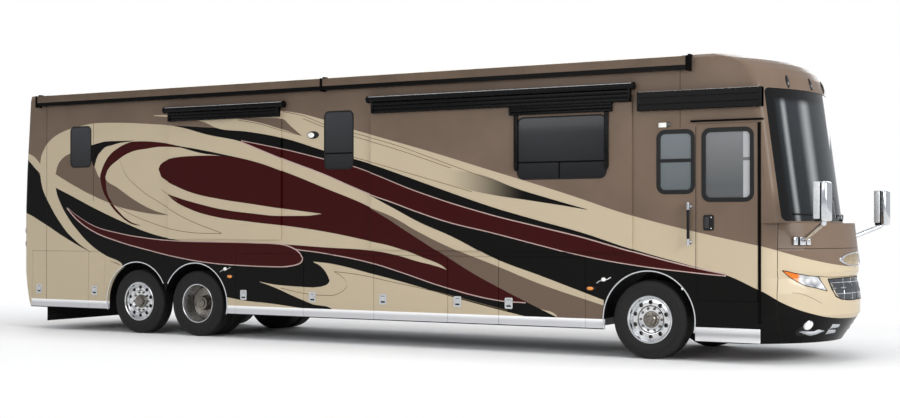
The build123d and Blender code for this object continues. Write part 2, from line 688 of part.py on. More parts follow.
# Slide-out rooms: a face panel outside the wall and an open box behind it
face_in = half_width + face_gap
face_out = face_in + face_t
edge = room_flange + room_gap
roll_r = 47
for name, (side, x_from, x_to, z_from, z_to) in rooms.items():
    box_x, box_z = (x_from + edge, x_to - edge), (z_from + edge, z_to - edge)
    with BuildPart() as room:
        block(box_x, (side * (half_width - room_depth), side * face_in), box_z)
        block((box_x[0] + wall, box_x[1] - wall), (0, side * face_in), (box_z[0] + wall, box_z[1] - wall),
              Mode.SUBTRACT)
        side_plate(side, face_in, face_out, (x_from, x_to), (z_from, z_to), room_flange)
        if name in room_windows:
            window = room_windows[name]
            side_plate(side, face_in - 5, face_out + 5, window[:2], window[2:], window_corner, Mode.SUBTRACT)
    save(room.part, f"room_{name}")
    if name in room_windows:
        with BuildPart() as room_window:
            side_plate(side, face_in + 2, face_in + 2 + pane_t, window[:2], window[2:], window_corner)
        save(room_window.part, f"room_window_{name}")

    # Topper over the room: a roll on a fascia that stands on the face
    face_y = side * face_out
    with BuildPart() as awning:
        block((x_from - 65, x_to + 42), (face_y, face_y + side * 84), (z_to - 80, z_to + 35))
        disc(face_y + side * (roll_r + 1), z_to + 80, x_from - 90, x_to + 67, roll_r)
        if name == "right_front":
            block((window[0] - 108, window[1] + 100), (face_y, face_y + side * 70), (3180, 3280))
    save(awning.part, f"awning_{name}")
print("rooms done")

# Awnings on the coach itself: the long case along the roof's edge and the one over the entry
with BuildPart() as wall_awnings:
    block((rear_x + 431, front_x - 1749), (-half_width, -half_width - 110), (3672, 3838))
    block((front_x - 2435, front_x - 800), (-half_width, -half_width - 90), (3170, 3410))
save(wall_awnings.part, "wall_awnings")

# Glass of the coach: the curved windscreen and the flat side panes
with BuildPart() as glazing:
    add(screen_solid(pane_in))
    add(screen_solid(pane_in + pane_t), mode=Mode.SUBTRACT)
    add(screen_prism(), mode=Mode.INTERSECT)
    for side, x_from, x_to, z_from, z_to in wall_windows:
        side_plate(side, *pane, (x_from, x_to), (z_from, z_to), window_corner)
save(glazing.part, "glazing")

# Grille and lamps in the nose, tail lamps in the rear cap
bar_pitch = 44
bar_gap = 26
with BuildPart() as grille:
    add(nose_solid(8))
    add(nose_solid(30), mode=Mode.SUBTRACT)
    add(front_prism(grille_outline), mode=Mode.INTERSECT)
    for z in range(1020, 830, -bar_pitch):
        reach = 560 - (1045 - z) * 0.45
        block((nose_seam_x, far), (-reach, reach), (z - bar_gap, z), Mode.SUBTRACT)
save(grille.part, "grille")
with BuildPart() as lamp_band:
    add(nose_solid(2))
    add(nose_solid(2 + lamp_t), mode=Mode.SUBTRACT)
    block((nose_seam_x, far), (-far, far), (0, hood_z), Mode.INTERSECT)


def headlamp(side):
    with BuildPart() as lens:
        add(lamp_band.part)
        add(front_prism(headlamp_outline, side), mode=Mode.INTERSECT)
    return lens.part


def fog_lens(side):
    with BuildPart() as lens:
        add(lamp_band.part)
        disc(side * fog_lamp[0], fog_lamp[1], nose_seam_x, far, fog_lamp[2] - seat_gap, Mode.INTERSECT)
    return lens.part


with BuildPart() as lamps:
    for side in (-1, 1):
        add(headlamp(side))
        add(fog_lens(side))
        for z in lamp_heights:
            disc(side * lamp_y, z, *lamp_x, lamp_r)
save(lamps.part, "lamps")
print("glass and lamps done")

# Mirrors on arms from the nose's shoulders
mirror_head = (front_x - 48, 1450, 1995)   # middle of the head
mirror_size = (130, 250, 480)
mirror_round = 30
mirror_foot = ((front_x - 440, 990, 1520), (front_x - 350, 1080, 1560))
x, y, z = mirror_head
with BuildPart() as shell:
    with BuildSketch(Plane.XY.offset(z - mirror_size[2] / 2)):
        RectangleRounded(mirror_size[0], mirror_size[1], 2 * mirror_round)
    extrude(amount=mirror_size[2])
    fillet(shell.edges().group_by(Axis.Z)[0] + shell.edges().group_by(Axis.Z)[-1], mirror_round)
with BuildPart() as mirrors:
    for side in (-1, 1):
        with Locations((x, side * y, 0)):
            add(shell.part)
        feet = [(a, side * b, c) for a, b, c in mirror_foot]
        with BuildLine() as arm:
            FilletPolyline(*feet, (x, side * (y - 40), z - mirror_size[2] / 2 + 30), radius=60)
        with BuildSketch(Plane(origin=arm.line @ 0, z_dir=arm.line % 0)):
            Circle(26)
        sweep(path=arm.line)
    add(nose_solid(0), mode=Mode.SUBTRACT)
save(mirrors.part, "mirrors")

# Bright trim: a strip round each arch and the grab handle beside the entry
handle_x, handle_z = entry_x[0] - 93, (1460, 1990)
handle_y = -half_width - 60


def arch_strip(side, x):
    face = side * half_width
    past = (face - side * trim_t, face + side * 2 * trim_t)
    with BuildPart() as strip:
        rod(x, arch_z, face, face + side * trim_t, arch_r + trim_w)
        rod(x, arch_z, *past, arch_r, Mode.SUBTRACT)
        block((x - 2 * arch_r, x + 2 * arch_r), past, (-arch_r, skirt_z), Mode.SUBTRACT)
        if x == drive_axle_x:
            block((x - 2 * arch_r, x), past, (0, arch_gap_z), Mode.SUBTRACT)
        if x == tag_axle_x:
            block((x, x + 2 * arch_r), past, (0, arch_gap_z), Mode.SUBTRACT)
    return strip.part


with BuildPart() as bright_trim:
    for side in (-1, 1):
        for x in (front_axle_x, drive_axle_x, tag_axle_x):
            add(arch_strip(side, x))
    with Locations((handle_x, handle_y, sum(handle_z) / 2)):
        Cylinder(15, handle_z[1] - handle_z[0])
    for z in (handle_z[0] + 40, handle_z[1] - 40):
        rod(handle_x, z, -half_width, handle_y, 12)
save(bright_trim.part, "bright_trim")

# Wheel housings above the wheels
def liner(side, axles, inner_y):
    with BuildPart() as housing:
        for x in axles:
            rod(x, arch_z, side * inner_y, side * side_in, liner_r + liner_t)
        for x in axles:
            rod(x, arch_z, side * (inner_y - 5), side * (side_in + 5), liner_r, Mode.SUBTRACT)
        block((-far, far), (-far, far), (-far, arch_z), Mode.SUBTRACT)
    return housing.part


with BuildPart() as wheel_housings:
    for side in (-1, 1):
        add(liner(side, (front_axle_x,), 590))
        add(liner(side, (drive_axle_x, tag_axle_x), 600))
save(wheel_housings.part, "wheel_housings")

# Rubber flap across the rear on two hangers
flap_x = (hitch_x[1] + 60, hitch_x[1] + 70)
flap_half = 1210
with BuildPart() as rear_flap:
    block(flap_x, (-flap_half, flap_half), (130, 540))
    for side in (-1, 1):
        block(flap_x, (side * rail_inner, side * rail_outer), (540, rail_low_z))
save(rear_flap.part, "rear_flap")

# Roof vents, low covers on the crown
with BuildPart() as roof_vents:
    for x in (tag_axle_x - 375, -700, 2600):
        block((x - 220, x + 220), (-220, 220), (crown_z - 20, crown_z + 60))
    add(crown_solid(0, rear_seam_x, cap_seam_x), mode=Mode.SUBTRACT)
save(roof_vents.part, "roof_vents")

# Cab: dashboard against the inside of the nose, steering wheel on its column, and two seats
driver_y = 640
helm = Plane(origin=(front_x - 1030, driver_y, 2030), z_dir=(-0.64, 0, 0.77))
helm_r = 205
grip_r = 16
with BuildPart() as dashboard:
    block((front_x - 790, far), (-1150, 1150), (deck_top_z, hood_z - wall - 5))
    add(nose_inner, mode=Mode.INTERSECT)
    with Locations(helm):
        Torus(helm_r, grip_r)
        Box(2 * helm_r, 2 * grip_r, grip_r)
        Cylinder(3 * grip_r, 2 * grip_r)
    with BuildSketch(helm):
        Circle(2 * grip_r)
    extrude(amount=-500)
save(dashboard.part, "dashboard")
with BuildPart() as seats:
    for x, y in ((front_x - 1520, driver_y), (front_x - 2070, -520)):
        with Locations((x, y, deck_top_z + 150)):
            Cylinder(150, 300)
        block((x - 260, x + 280), (y - 260, y + 260), (deck_top_z + 300, deck_top_z + 460))
        block((x - 380, x - 240), (y - 250, y + 250), (deck_top_z + 400, deck_top_z + 1150))
save(seats.part, "seats")
print("all parts written")
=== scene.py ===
import math

import bmesh
import bpy
from mathutils import Matrix, Vector
from mathutils.bvhtree import BVHTree


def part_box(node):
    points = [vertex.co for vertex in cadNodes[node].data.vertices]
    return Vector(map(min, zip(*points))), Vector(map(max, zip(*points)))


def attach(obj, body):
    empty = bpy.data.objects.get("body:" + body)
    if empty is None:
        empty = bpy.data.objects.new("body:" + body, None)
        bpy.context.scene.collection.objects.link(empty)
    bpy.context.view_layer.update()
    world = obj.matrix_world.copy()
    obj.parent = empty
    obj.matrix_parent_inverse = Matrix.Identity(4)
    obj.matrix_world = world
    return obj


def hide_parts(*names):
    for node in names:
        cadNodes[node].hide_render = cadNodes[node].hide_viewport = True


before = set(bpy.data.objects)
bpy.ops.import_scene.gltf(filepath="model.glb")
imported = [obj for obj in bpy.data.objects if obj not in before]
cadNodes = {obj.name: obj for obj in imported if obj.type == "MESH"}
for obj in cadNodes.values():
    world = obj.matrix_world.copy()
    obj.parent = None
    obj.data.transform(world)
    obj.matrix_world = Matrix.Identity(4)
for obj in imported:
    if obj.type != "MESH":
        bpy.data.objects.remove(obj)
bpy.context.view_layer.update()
print("frame loaded")

halfWidth = 1.28
kerb = -1  # the side of the entry door
driver = 1
words = {kerb: "right", driver: "left"}


# Camera, at the photograph's place

photoView = {
    "place": (11.475, -18.324, 1.724),
    "turn": 30.295,
    "tilt": 0.425,
    "lens": 57.14,
    "sensor": 36,
    "width": 900,
    "middleRow": 209,
    "axisRow": 213.8,
}


def addCamera():
    data = bpy.data.cameras.new("photoCamera")
    data.lens = photoView["lens"]
    data.sensor_width = photoView["sensor"]
    data.shift_y = (photoView["axisRow"] - photoView["middleRow"]) / photoView["width"]
    data.clip_end = 300
    camera = addObject("photoCamera", data)
    camera.location = photoView["place"]
    camera.rotation_euler = (math.radians(90 + photoView["tilt"]), 0, math.radians(photoView["turn"]))
    bpy.context.scene.camera = camera


# Materials

def shade(code):
    # a written colour such as "C7B699", made linear
    values = [int(code[i:i + 2], 16) / 255 for i in (0, 2, 4)]
    linear = [v / 12.92 if v <= 0.04045 else ((v + 0.055) / 1.055) ** 2.4 for v in values]
    return (*linear, 1.0)


class Graph:
    # one material's nodes, with short ways to add and join them
    def __init__(self, name):
        self.material = bpy.data.materials.new(name)
        self.material.use_nodes = True
        self.nodes = self.material.node_tree.nodes
        self.links = self.material.node_tree.links
        self.shader = self.nodes["Principled BSDF"]
        self.place = self.add("ShaderNodeTexCoord").outputs["Object"]

    def add(self, kind, **settings):
        node = self.nodes.new(kind)
        for key, value in settings.items():
            setattr(node, key, value)
        return node

    def put(self, socket, value):
        if isinstance(value, bpy.types.NodeSocket):
            self.links.new(value, socket)
        else:
            socket.default_value = value

    def math(self, operation, *values):
        node = self.add("ShaderNodeMath", operation=operation)
        for socket, value in zip(node.inputs, values):
            self.put(socket, value)
        return node.outputs[0]

    def axes(self):
        split = self.add("ShaderNodeSeparateXYZ")
        self.links.new(self.place, split.inputs[0])
        return split.outputs

    def span(self, value, start, end, smooth=False):
        # rises from 0 to 1 as value goes from start to end
        node = self.add("ShaderNodeMapRange", interpolation_type="SMOOTHSTEP" if smooth else "LINEAR")
        self.put(node.inputs["Value"], value)
        node.inputs["From Min"].default_value = start
        node.inputs["From Max"].default_value = end
        return node.outputs[0]

    def within(self, value, low, high):
        # 1 where value is between low and high, which may vary over the surface
        return self.math("MULTIPLY", self.math("GREATER_THAN", value, low), self.math("LESS_THAN", value, high))

    def lineAt(self, value, middle, half):
        # 1 on a line round middle
        return self.math("LESS_THAN", self.math("ABSOLUTE", self.math("SUBTRACT", value, middle)), half)

    def mix(self, factor, first, second):
        node = self.add("ShaderNodeMix", data_type="RGBA")
        self.put(node.inputs[0], factor)
        self.put(node.inputs[6], first)
        self.put(node.inputs[7], second)
        return node.outputs[2]

    def noise(self, scale, detail=4.0, stretch=None):
        place = self.place
        if stretch:
            mapping = self.add("ShaderNodeMapping")
            self.links.new(place, mapping.inputs["Vector"])
            mapping.inputs["Scale"].default_value = stretch
            place = mapping.outputs[0]
        node = self.add("ShaderNodeTexNoise")
        self.links.new(place, node.inputs["Vector"])
        node.inputs["Scale"].default_value = scale
        node.inputs["Detail"].default_value = detail
        node.inputs["Roughness"].default_value = 0.55
        return node.outputs["Fac"]

    def ramp(self, value, low, high):
        node = self.add("ShaderNodeMapRange")
        self.put(node.inputs["Value"], value)
        node.inputs["From Min"].default_value = 0.3
        node.inputs["From Max"].default_value = 0.7
        node.inputs["To Min"].default_value = low
        node.inputs["To Max"].default_value = high
        return node.outputs[0]

    def bump(self, height, strength, distance):
        node = self.add("ShaderNodeBump")
        node.inputs["Strength"].default_value = strength
        node.inputs["Distance"].default_value = distance
        self.links.new(height, node.inputs["Height"])
        self.links.new(node.outputs[0], self.shader.inputs["Normal"])

    def finish(self, colour, roughness, **fixed):
        self.put(self.shader.inputs["Base Color"], colour)
        self.put(self.shader.inputs["Roughness"], roughness)
        for key, value in fixed.items():
            self.shader.inputs[key.replace("_", " ")].default_value = value
        return self.material


# name: colour, second colour, grain per metre, roughness, its spread, bump in metres, other fixed sockets
finishes = {
    "chrome": ("DADCDF", "C9CCD0", 30, 0.10, 0.05, 0.0001, {"Metallic": 1.0}),
    "polishedAlloy": ("DDDEDF", "C6C8CA", 60, 0.20, 0.10, 0.0002, {"Metallic": 1.0}),
    "blackTrim": ("0A0A0B", "121213", 40, 0.34, 0.10, 0.0003, {"Specular IOR Level": 0.25}),
    "awningCloth": ("030303", "070708", 25, 0.28, 0.08, 0.0002, {"Specular IOR Level": 0.12}),
    "sealRubber": ("0D0D0E", "161617", 90, 0.55, 0.15, 0.0004, {"Specular IOR Level": 0.2}),
    "gapShadow": ("060505", "0C0B0A", 60, 0.80, 0.10, 0.0002, {"Specular IOR Level": 0.05}),
    "tyreRubber": ("141414", "211F1E", 45, 0.66, 0.14, 0.0008, {"Specular IOR Level": 0.28}),
    "flapRubber": ("0C0C0C", "151413", 30, 0.70, 0.12, 0.0010, {"Specular IOR Level": 0.2}),
    "framePaint": ("0E0E0E", "1B1918", 12, 0.50, 0.18, 0.0008, {"Specular IOR Level": 0.3}),
    "castMetal": ("2E2D2C", "46423E", 35, 0.60, 0.18, 0.0015, {"Metallic": 0.6}),
    "bayMetal": ("77787A", "8D8E90", 18, 0.45, 0.15, 0.0004, {"Metallic": 0.7}),
    "deckBoard": ("6B4F38", "81624A", 7, 0.48, 0.12, 0.0006, {}),
    "housingPlastic": ("060606", "0D0D0D", 25, 0.65, 0.15, 0.0012, {"Specular IOR Level": 0.15}),
    "roofSkin": ("D9D6CC", "C8C4B8", 3, 0.45, 0.12, 0.0006, {}),
    "dashPlastic": ("2A2724", "37332F", 60, 0.55, 0.12, 0.0004, {}),
    # the hub's chrome is given a dark colour, a painted dark reflection of the studio
    "hubChromeDarkReflection": ("5B5650", "8F8981", 40, 0.24, 0.08, 0.0006, {"Metallic": 0.9}),
    "seatLeather": ("B4A68F", "9C8D76", 55, 0.42, 0.12, 0.0012, {"Sheen Weight": 0.2}),
    "blackPaint": ("0E0E0F", "17171A", 25, 0.22, 0.06, 0.0002, {"Coat Weight": 0.6}),
    "mirrorGlass": ("AAB2B8", "98A1A8", 8, 0.04, 0.02, 0.0001, {"Metallic": 1.0}),
    "grilleMesh": ("3A3C3F", "606367", 130, 0.38, 0.12, 0.0020, {"Metallic": 0.7}),
    "champagneBoss": ("B9A88A", "A59474", 18, 0.28, 0.08, 0.0004, {"Metallic": 0.7}),
    "amberLens": ("D9730B", "F09A2C", 90, 0.14, 0.05, 0.0006, {"Coat Weight": 0.8}),
    "clearLens": ("E9EDF0", "C9D0D6", 70, 0.08, 0.04, 0.0005, {"Coat Weight": 0.8}),
    "whiteLamp": ("F4F4EE", "D2D0C8", 30, 0.15, 0.05, 0.0003, {"Emission Strength": 0.12}),
    "smokedLens": ("2A2624", "3B3632", 70, 0.16, 0.05, 0.0003, {"Coat Weight": 0.4}),
    "platePlain": ("C9CBCC", "B4B6B8", 50, 0.34, 0.10, 0.0002, {"Metallic": 0.45}),
}


def makeFinish(name):
    first, second, grain, roughness, spread, relief, fixed = finishes[name]
    graph = Graph(name)
    cloud = graph.noise(grain)
    fine = graph.noise(grain * 9, detail=2.0)
    colour = graph.mix(graph.ramp(cloud, 0, 1), shade(first), shade(second))
    if "Emission Strength" in fixed:
        graph.shader.inputs["Emission Color"].default_value = shade(first)
    graph.bump(fine, 0.35, relief)
    rough = graph.ramp(cloud, max(roughness - spread / 2, 0.02), roughness + spread / 2)
    return graph.finish(colour, rough, **fixed)


look = {name: makeFinish(name) for name in finishes}


# Tinted glass: a dark sheet that is painted lighter towards its top, a painted highlight; the pale cab and door glass
# are painted light of the bright backdrop seen through them

glassLooks = {
    "darkGlass": {"low": "0E0E0F", "high": "3A3B3D", "from": 2.25, "to": 3.3, "alpha": 0.97},
    # the cab and door glass are pale: painted light of the bright backdrop seen through them
    "cabGlass": {"low": "5F6668", "high": "82888B", "from": 2.0, "to": 2.95, "alpha": 0.86},
    "doorGlass": {"low": "5C5E5F", "high": "868788", "from": 2.2, "to": 2.95, "alpha": 0.90},
    "screenGlass": {"low": "1C2022", "high": "2C3033", "from": 1.7, "to": 3.4, "alpha": 0.90},
}
# a pale upright band on the door glass: painted light of the bright backdrop seen through the far cab window, whose
# bar is left dark across it
doorBackdropView = {"from": 5.705, "to": 6.0, "bar": (2.515, 2.555), "soft": 0.004, "colour": "B2B3B4"}
screenEdges = {
    "side": 1.03, "soft": 0.05, "top": 3.26, "colour": "060606",
    # middle and half width of each painted highlight streak
    "highlightStreaks": ((-0.93, 0.045), (-0.52, 0.12), (0.60, 0.10)), "highlightStreakColour": "A9ACAC", "highlightStreakShare": 0.85,
}


def between(graph, value, low, high, soft):
    # 1 from low to high with soft ends
    rise = graph.span(value, low - soft, low + soft, smooth=True)
    fall = graph.span(value, high + soft, high - soft, smooth=True)
    return graph.math("MULTIPLY", rise, fall)


def makeGlass(name):
    sizes = glassLooks[name]
    graph = Graph(name)
    x, y, z = graph.axes()
    wave = graph.noise(0.6, detail=1.0)
    # painted highlight: each pane is painted lighter towards its top
    topHighlight = graph.math("MULTIPLY", graph.span(z, sizes["from"], sizes["to"]), graph.ramp(wave, 0.75, 1.1))
    colour = graph.mix(topHighlight, shade(sizes["low"]), shade(sizes["high"]))
    alpha = sizes["alpha"]
    if name == "doorGlass":
        # painted light: the pale band of backdrop seen through the far window, with that window's bar left dark
        clear = between(graph, x, doorBackdropView["from"], doorBackdropView["to"], doorBackdropView["soft"])
        bar = between(graph, z, *doorBackdropView["bar"], doorBackdropView["soft"])
        colour = graph.mix(graph.math("MULTIPLY", clear, graph.math("SUBTRACT", 1.0, bar)), colour,
                           shade(doorBackdropView["colour"]))
    if name == "screenGlass":
        # painted highlights: pale upright streaks that stand for reflections on the windscreen
        for middle, half in screenEdges["highlightStreaks"]:
            highlightStreak = between(graph, y, middle - half / 2, middle + half / 2, half)
            colour = graph.mix(graph.math("MULTIPLY", highlightStreak, screenEdges["highlightStreakShare"]), colour,
                               shade(screenEdges["highlightStreakColour"]))
        reach = graph.math("ABSOLUTE", y)
        side, top, soft = (screenEdges[key] for key in ("side", "top", "soft"))
        edge = graph.span(reach, side - soft, side + soft, smooth=True)
        border = graph.math("MAXIMUM", edge, graph.span(z, top - soft, top + soft, smooth=True))
        colour = graph.mix(border, colour, shade(screenEdges["colour"]))
        clearAlpha = graph.math("MULTIPLY_ADD", border, 1.0 - alpha, alpha)
        graph.links.new(clearAlpha, graph.shader.inputs["Alpha"])
    else:
        graph.shader.inputs["Alpha"].default_value = alpha
    graph.bump(wave, 0.2, 0.002)
    return graph.finish(colour, 0.06, IOR=1.5, Specular_IOR_Level=0.3)


glass = {name: makeGlass(name) for name in glassLooks}
print("plain finishes made")


# The painted bands. A place on them is a distance s along the coach, which runs on round its nose and tail,
# and a height, both in metres. Each band lies between an upper and a lower edge and covers those before it.

paints = {
    "taupe": "6B5B4E", "taupeLight": "756456", "cream": "BEAF95", "maroon": "380808", "black": "090807",
    "pinstripe": "B99F98", "pencilAndCreaseShade": "6A5A45", "stripHigh": "FFFFFF", "stripLow": "C6C6C8", "seam": "171310",
    "amber": "D9742A",
}

topEdge = [  # where the brown of the upper side ends
    (-3.88, 3.44), (-1.39, 3.41), (-0.61, 3.25), (-0.10, 3.09), (0.20, 3.01), (1.27, 2.72), (2.06, 2.49),
    (2.72, 2.30), (3.36, 2.11), (4.22, 1.84), (5.09, 1.63), (5.91, 1.46), (6.83, 1.29), (7.57, 1.21), (8.05, 1.19),
]
creamLow = [  # the lower side of the cream under it, at its rear tip
    (-3.88, 3.43), (-3.58, 3.40), (-2.90, 3.31), (-2.53, 3.18), (-2.00, 3.12),
]
middleEdge = [  # the upper side of the black under the cream
    (-3.42, 3.26), (-2.98, 3.225), (-2.55, 3.19), (-2.00, 3.12), (-1.37, 3.01), (-0.61, 2.80), (0.20, 2.59),
    (0.84, 2.39), (1.55, 2.16), (2.23, 1.95), (2.88, 1.78), (3.52, 1.62), (4.22, 1.41), (5.09, 1.19),
    (5.47, 1.10), (5.90, 0.92), (6.37, 0.73), (6.92, 0.61), (7.38, 0.56), (8.05, 0.54),
]
longMaroonTop = [
    (-2.10, 2.98), (-1.37, 2.84), (-0.61, 2.67), (-0.12, 2.56), (0.20, 2.46), (1.02, 2.17), (2.16, 1.85),
    (2.88, 1.69), (3.52, 1.55), (4.22, 1.37), (5.09, 1.17), (5.47, 1.10),
]
longMaroonLow = [
    (-2.10, 2.97), (-1.37, 2.71), (-0.61, 2.46), (-0.08, 2.26), (0.20, 2.16), (0.59, 2.04), (1.02, 1.90),
    (1.55, 1.75), (2.13, 1.63), (2.88, 1.46), (3.52, 1.32), (4.22, 1.21), (5.09, 1.12), (5.47, 1.09),
]
sweepTop = [  # the long cream sweep that starts as the round sickle at the rear
    (-6.38, 2.66), (-6.36, 2.80), (-6.30, 2.93), (-6.15, 3.10), (-5.89, 3.23), (-5.42, 3.33), (-5.05, 3.36),
    (-4.64, 3.35), (-4.01, 3.31), (-3.42, 3.25), (-2.73, 3.09), (-2.15, 2.98), (-1.37, 2.71), (-0.61, 2.45),
    (-0.08, 2.26), (0.59, 1.96), (1.02, 1.76), (1.55, 1.56), (2.28, 1.24), (2.88, 1.05), (3.83, 0.74),
]
sickleLow = [
    (-6.38, 2.66), (-6.36, 2.52), (-6.30, 2.30), (-6.15, 2.06), (-5.93, 1.78), (-5.65, 1.52), (-5.27, 1.30),
    (-4.95, 1.18), (-4.56, 1.06),
]
sickleInner = [
    (-6.01, 2.33), (-5.99, 2.25), (-5.91, 2.09), (-5.74, 1.85), (-5.53, 1.64), (-5.23, 1.40), (-4.91, 1.23),
    (-4.54, 1.09),
]
bodyMaroonTop = [
    (-3.78, 2.59), (-3.76, 2.64), (-3.66, 2.71), (-3.45, 2.76), (-2.94, 2.78), (-2.32, 2.75), (-1.92, 2.68),
    (-1.37, 2.52), (-0.61, 2.26), (0.24, 1.95), (0.59, 1.76), (1.02, 1.52), (1.48, 1.27), (1.89, 1.05),
    (2.28, 0.87), (2.69, 0.69),
]
bodyMaroonLow = [
    (-3.78, 2.59), (-3.72, 2.46), (-3.62, 2.25), (-3.45, 2.10), (-3.15, 1.97), (-2.73, 1.86), (-1.92, 1.76),
    (-1.37, 1.71), (-0.61, 1.62), (0.22, 1.48), (0.59, 1.41), (1.02, 1.28), (1.48, 1.08), (1.52, 0.85),
    (2.28, 0.71), (2.69, 0.68),
]
lowCreamEdge = [  # the lower side of the cream that tapers away to the front
    (-3.28, 1.47), (-2.73, 1.46), (-1.92, 1.45), (-1.37, 1.43), (-0.61, 1.39), (0.22, 1.35), (0.59, 1.30),
    (1.02, 1.20), (1.27, 1.15), (1.50, 1.08),
]
lowMaroonLow = [
    (-1.40, 1.41), (-1.25, 1.38), (-0.61, 1.31), (0.26, 1.17), (0.66, 1.07), (1.48, 0.85), (2.28, 0.70),
    (2.69, 0.68),
]
hookTop = [
    (-0.80, 1.18), (-0.46, 1.15), (0.22, 1.02), (0.66, 0.93), (1.02, 0.85),
    (1.48, 0.74), (2.28, 0.57), (2.69, 0.49),
]
rearDark = [(-8.05, 1.98), (-6.72, 1.92), (-6.32, 1.76), (-5.84, 1.53), (-5.37, 1.33), (-4.90, 1.17), (-4.56, 1.06)]
ground = 0.0

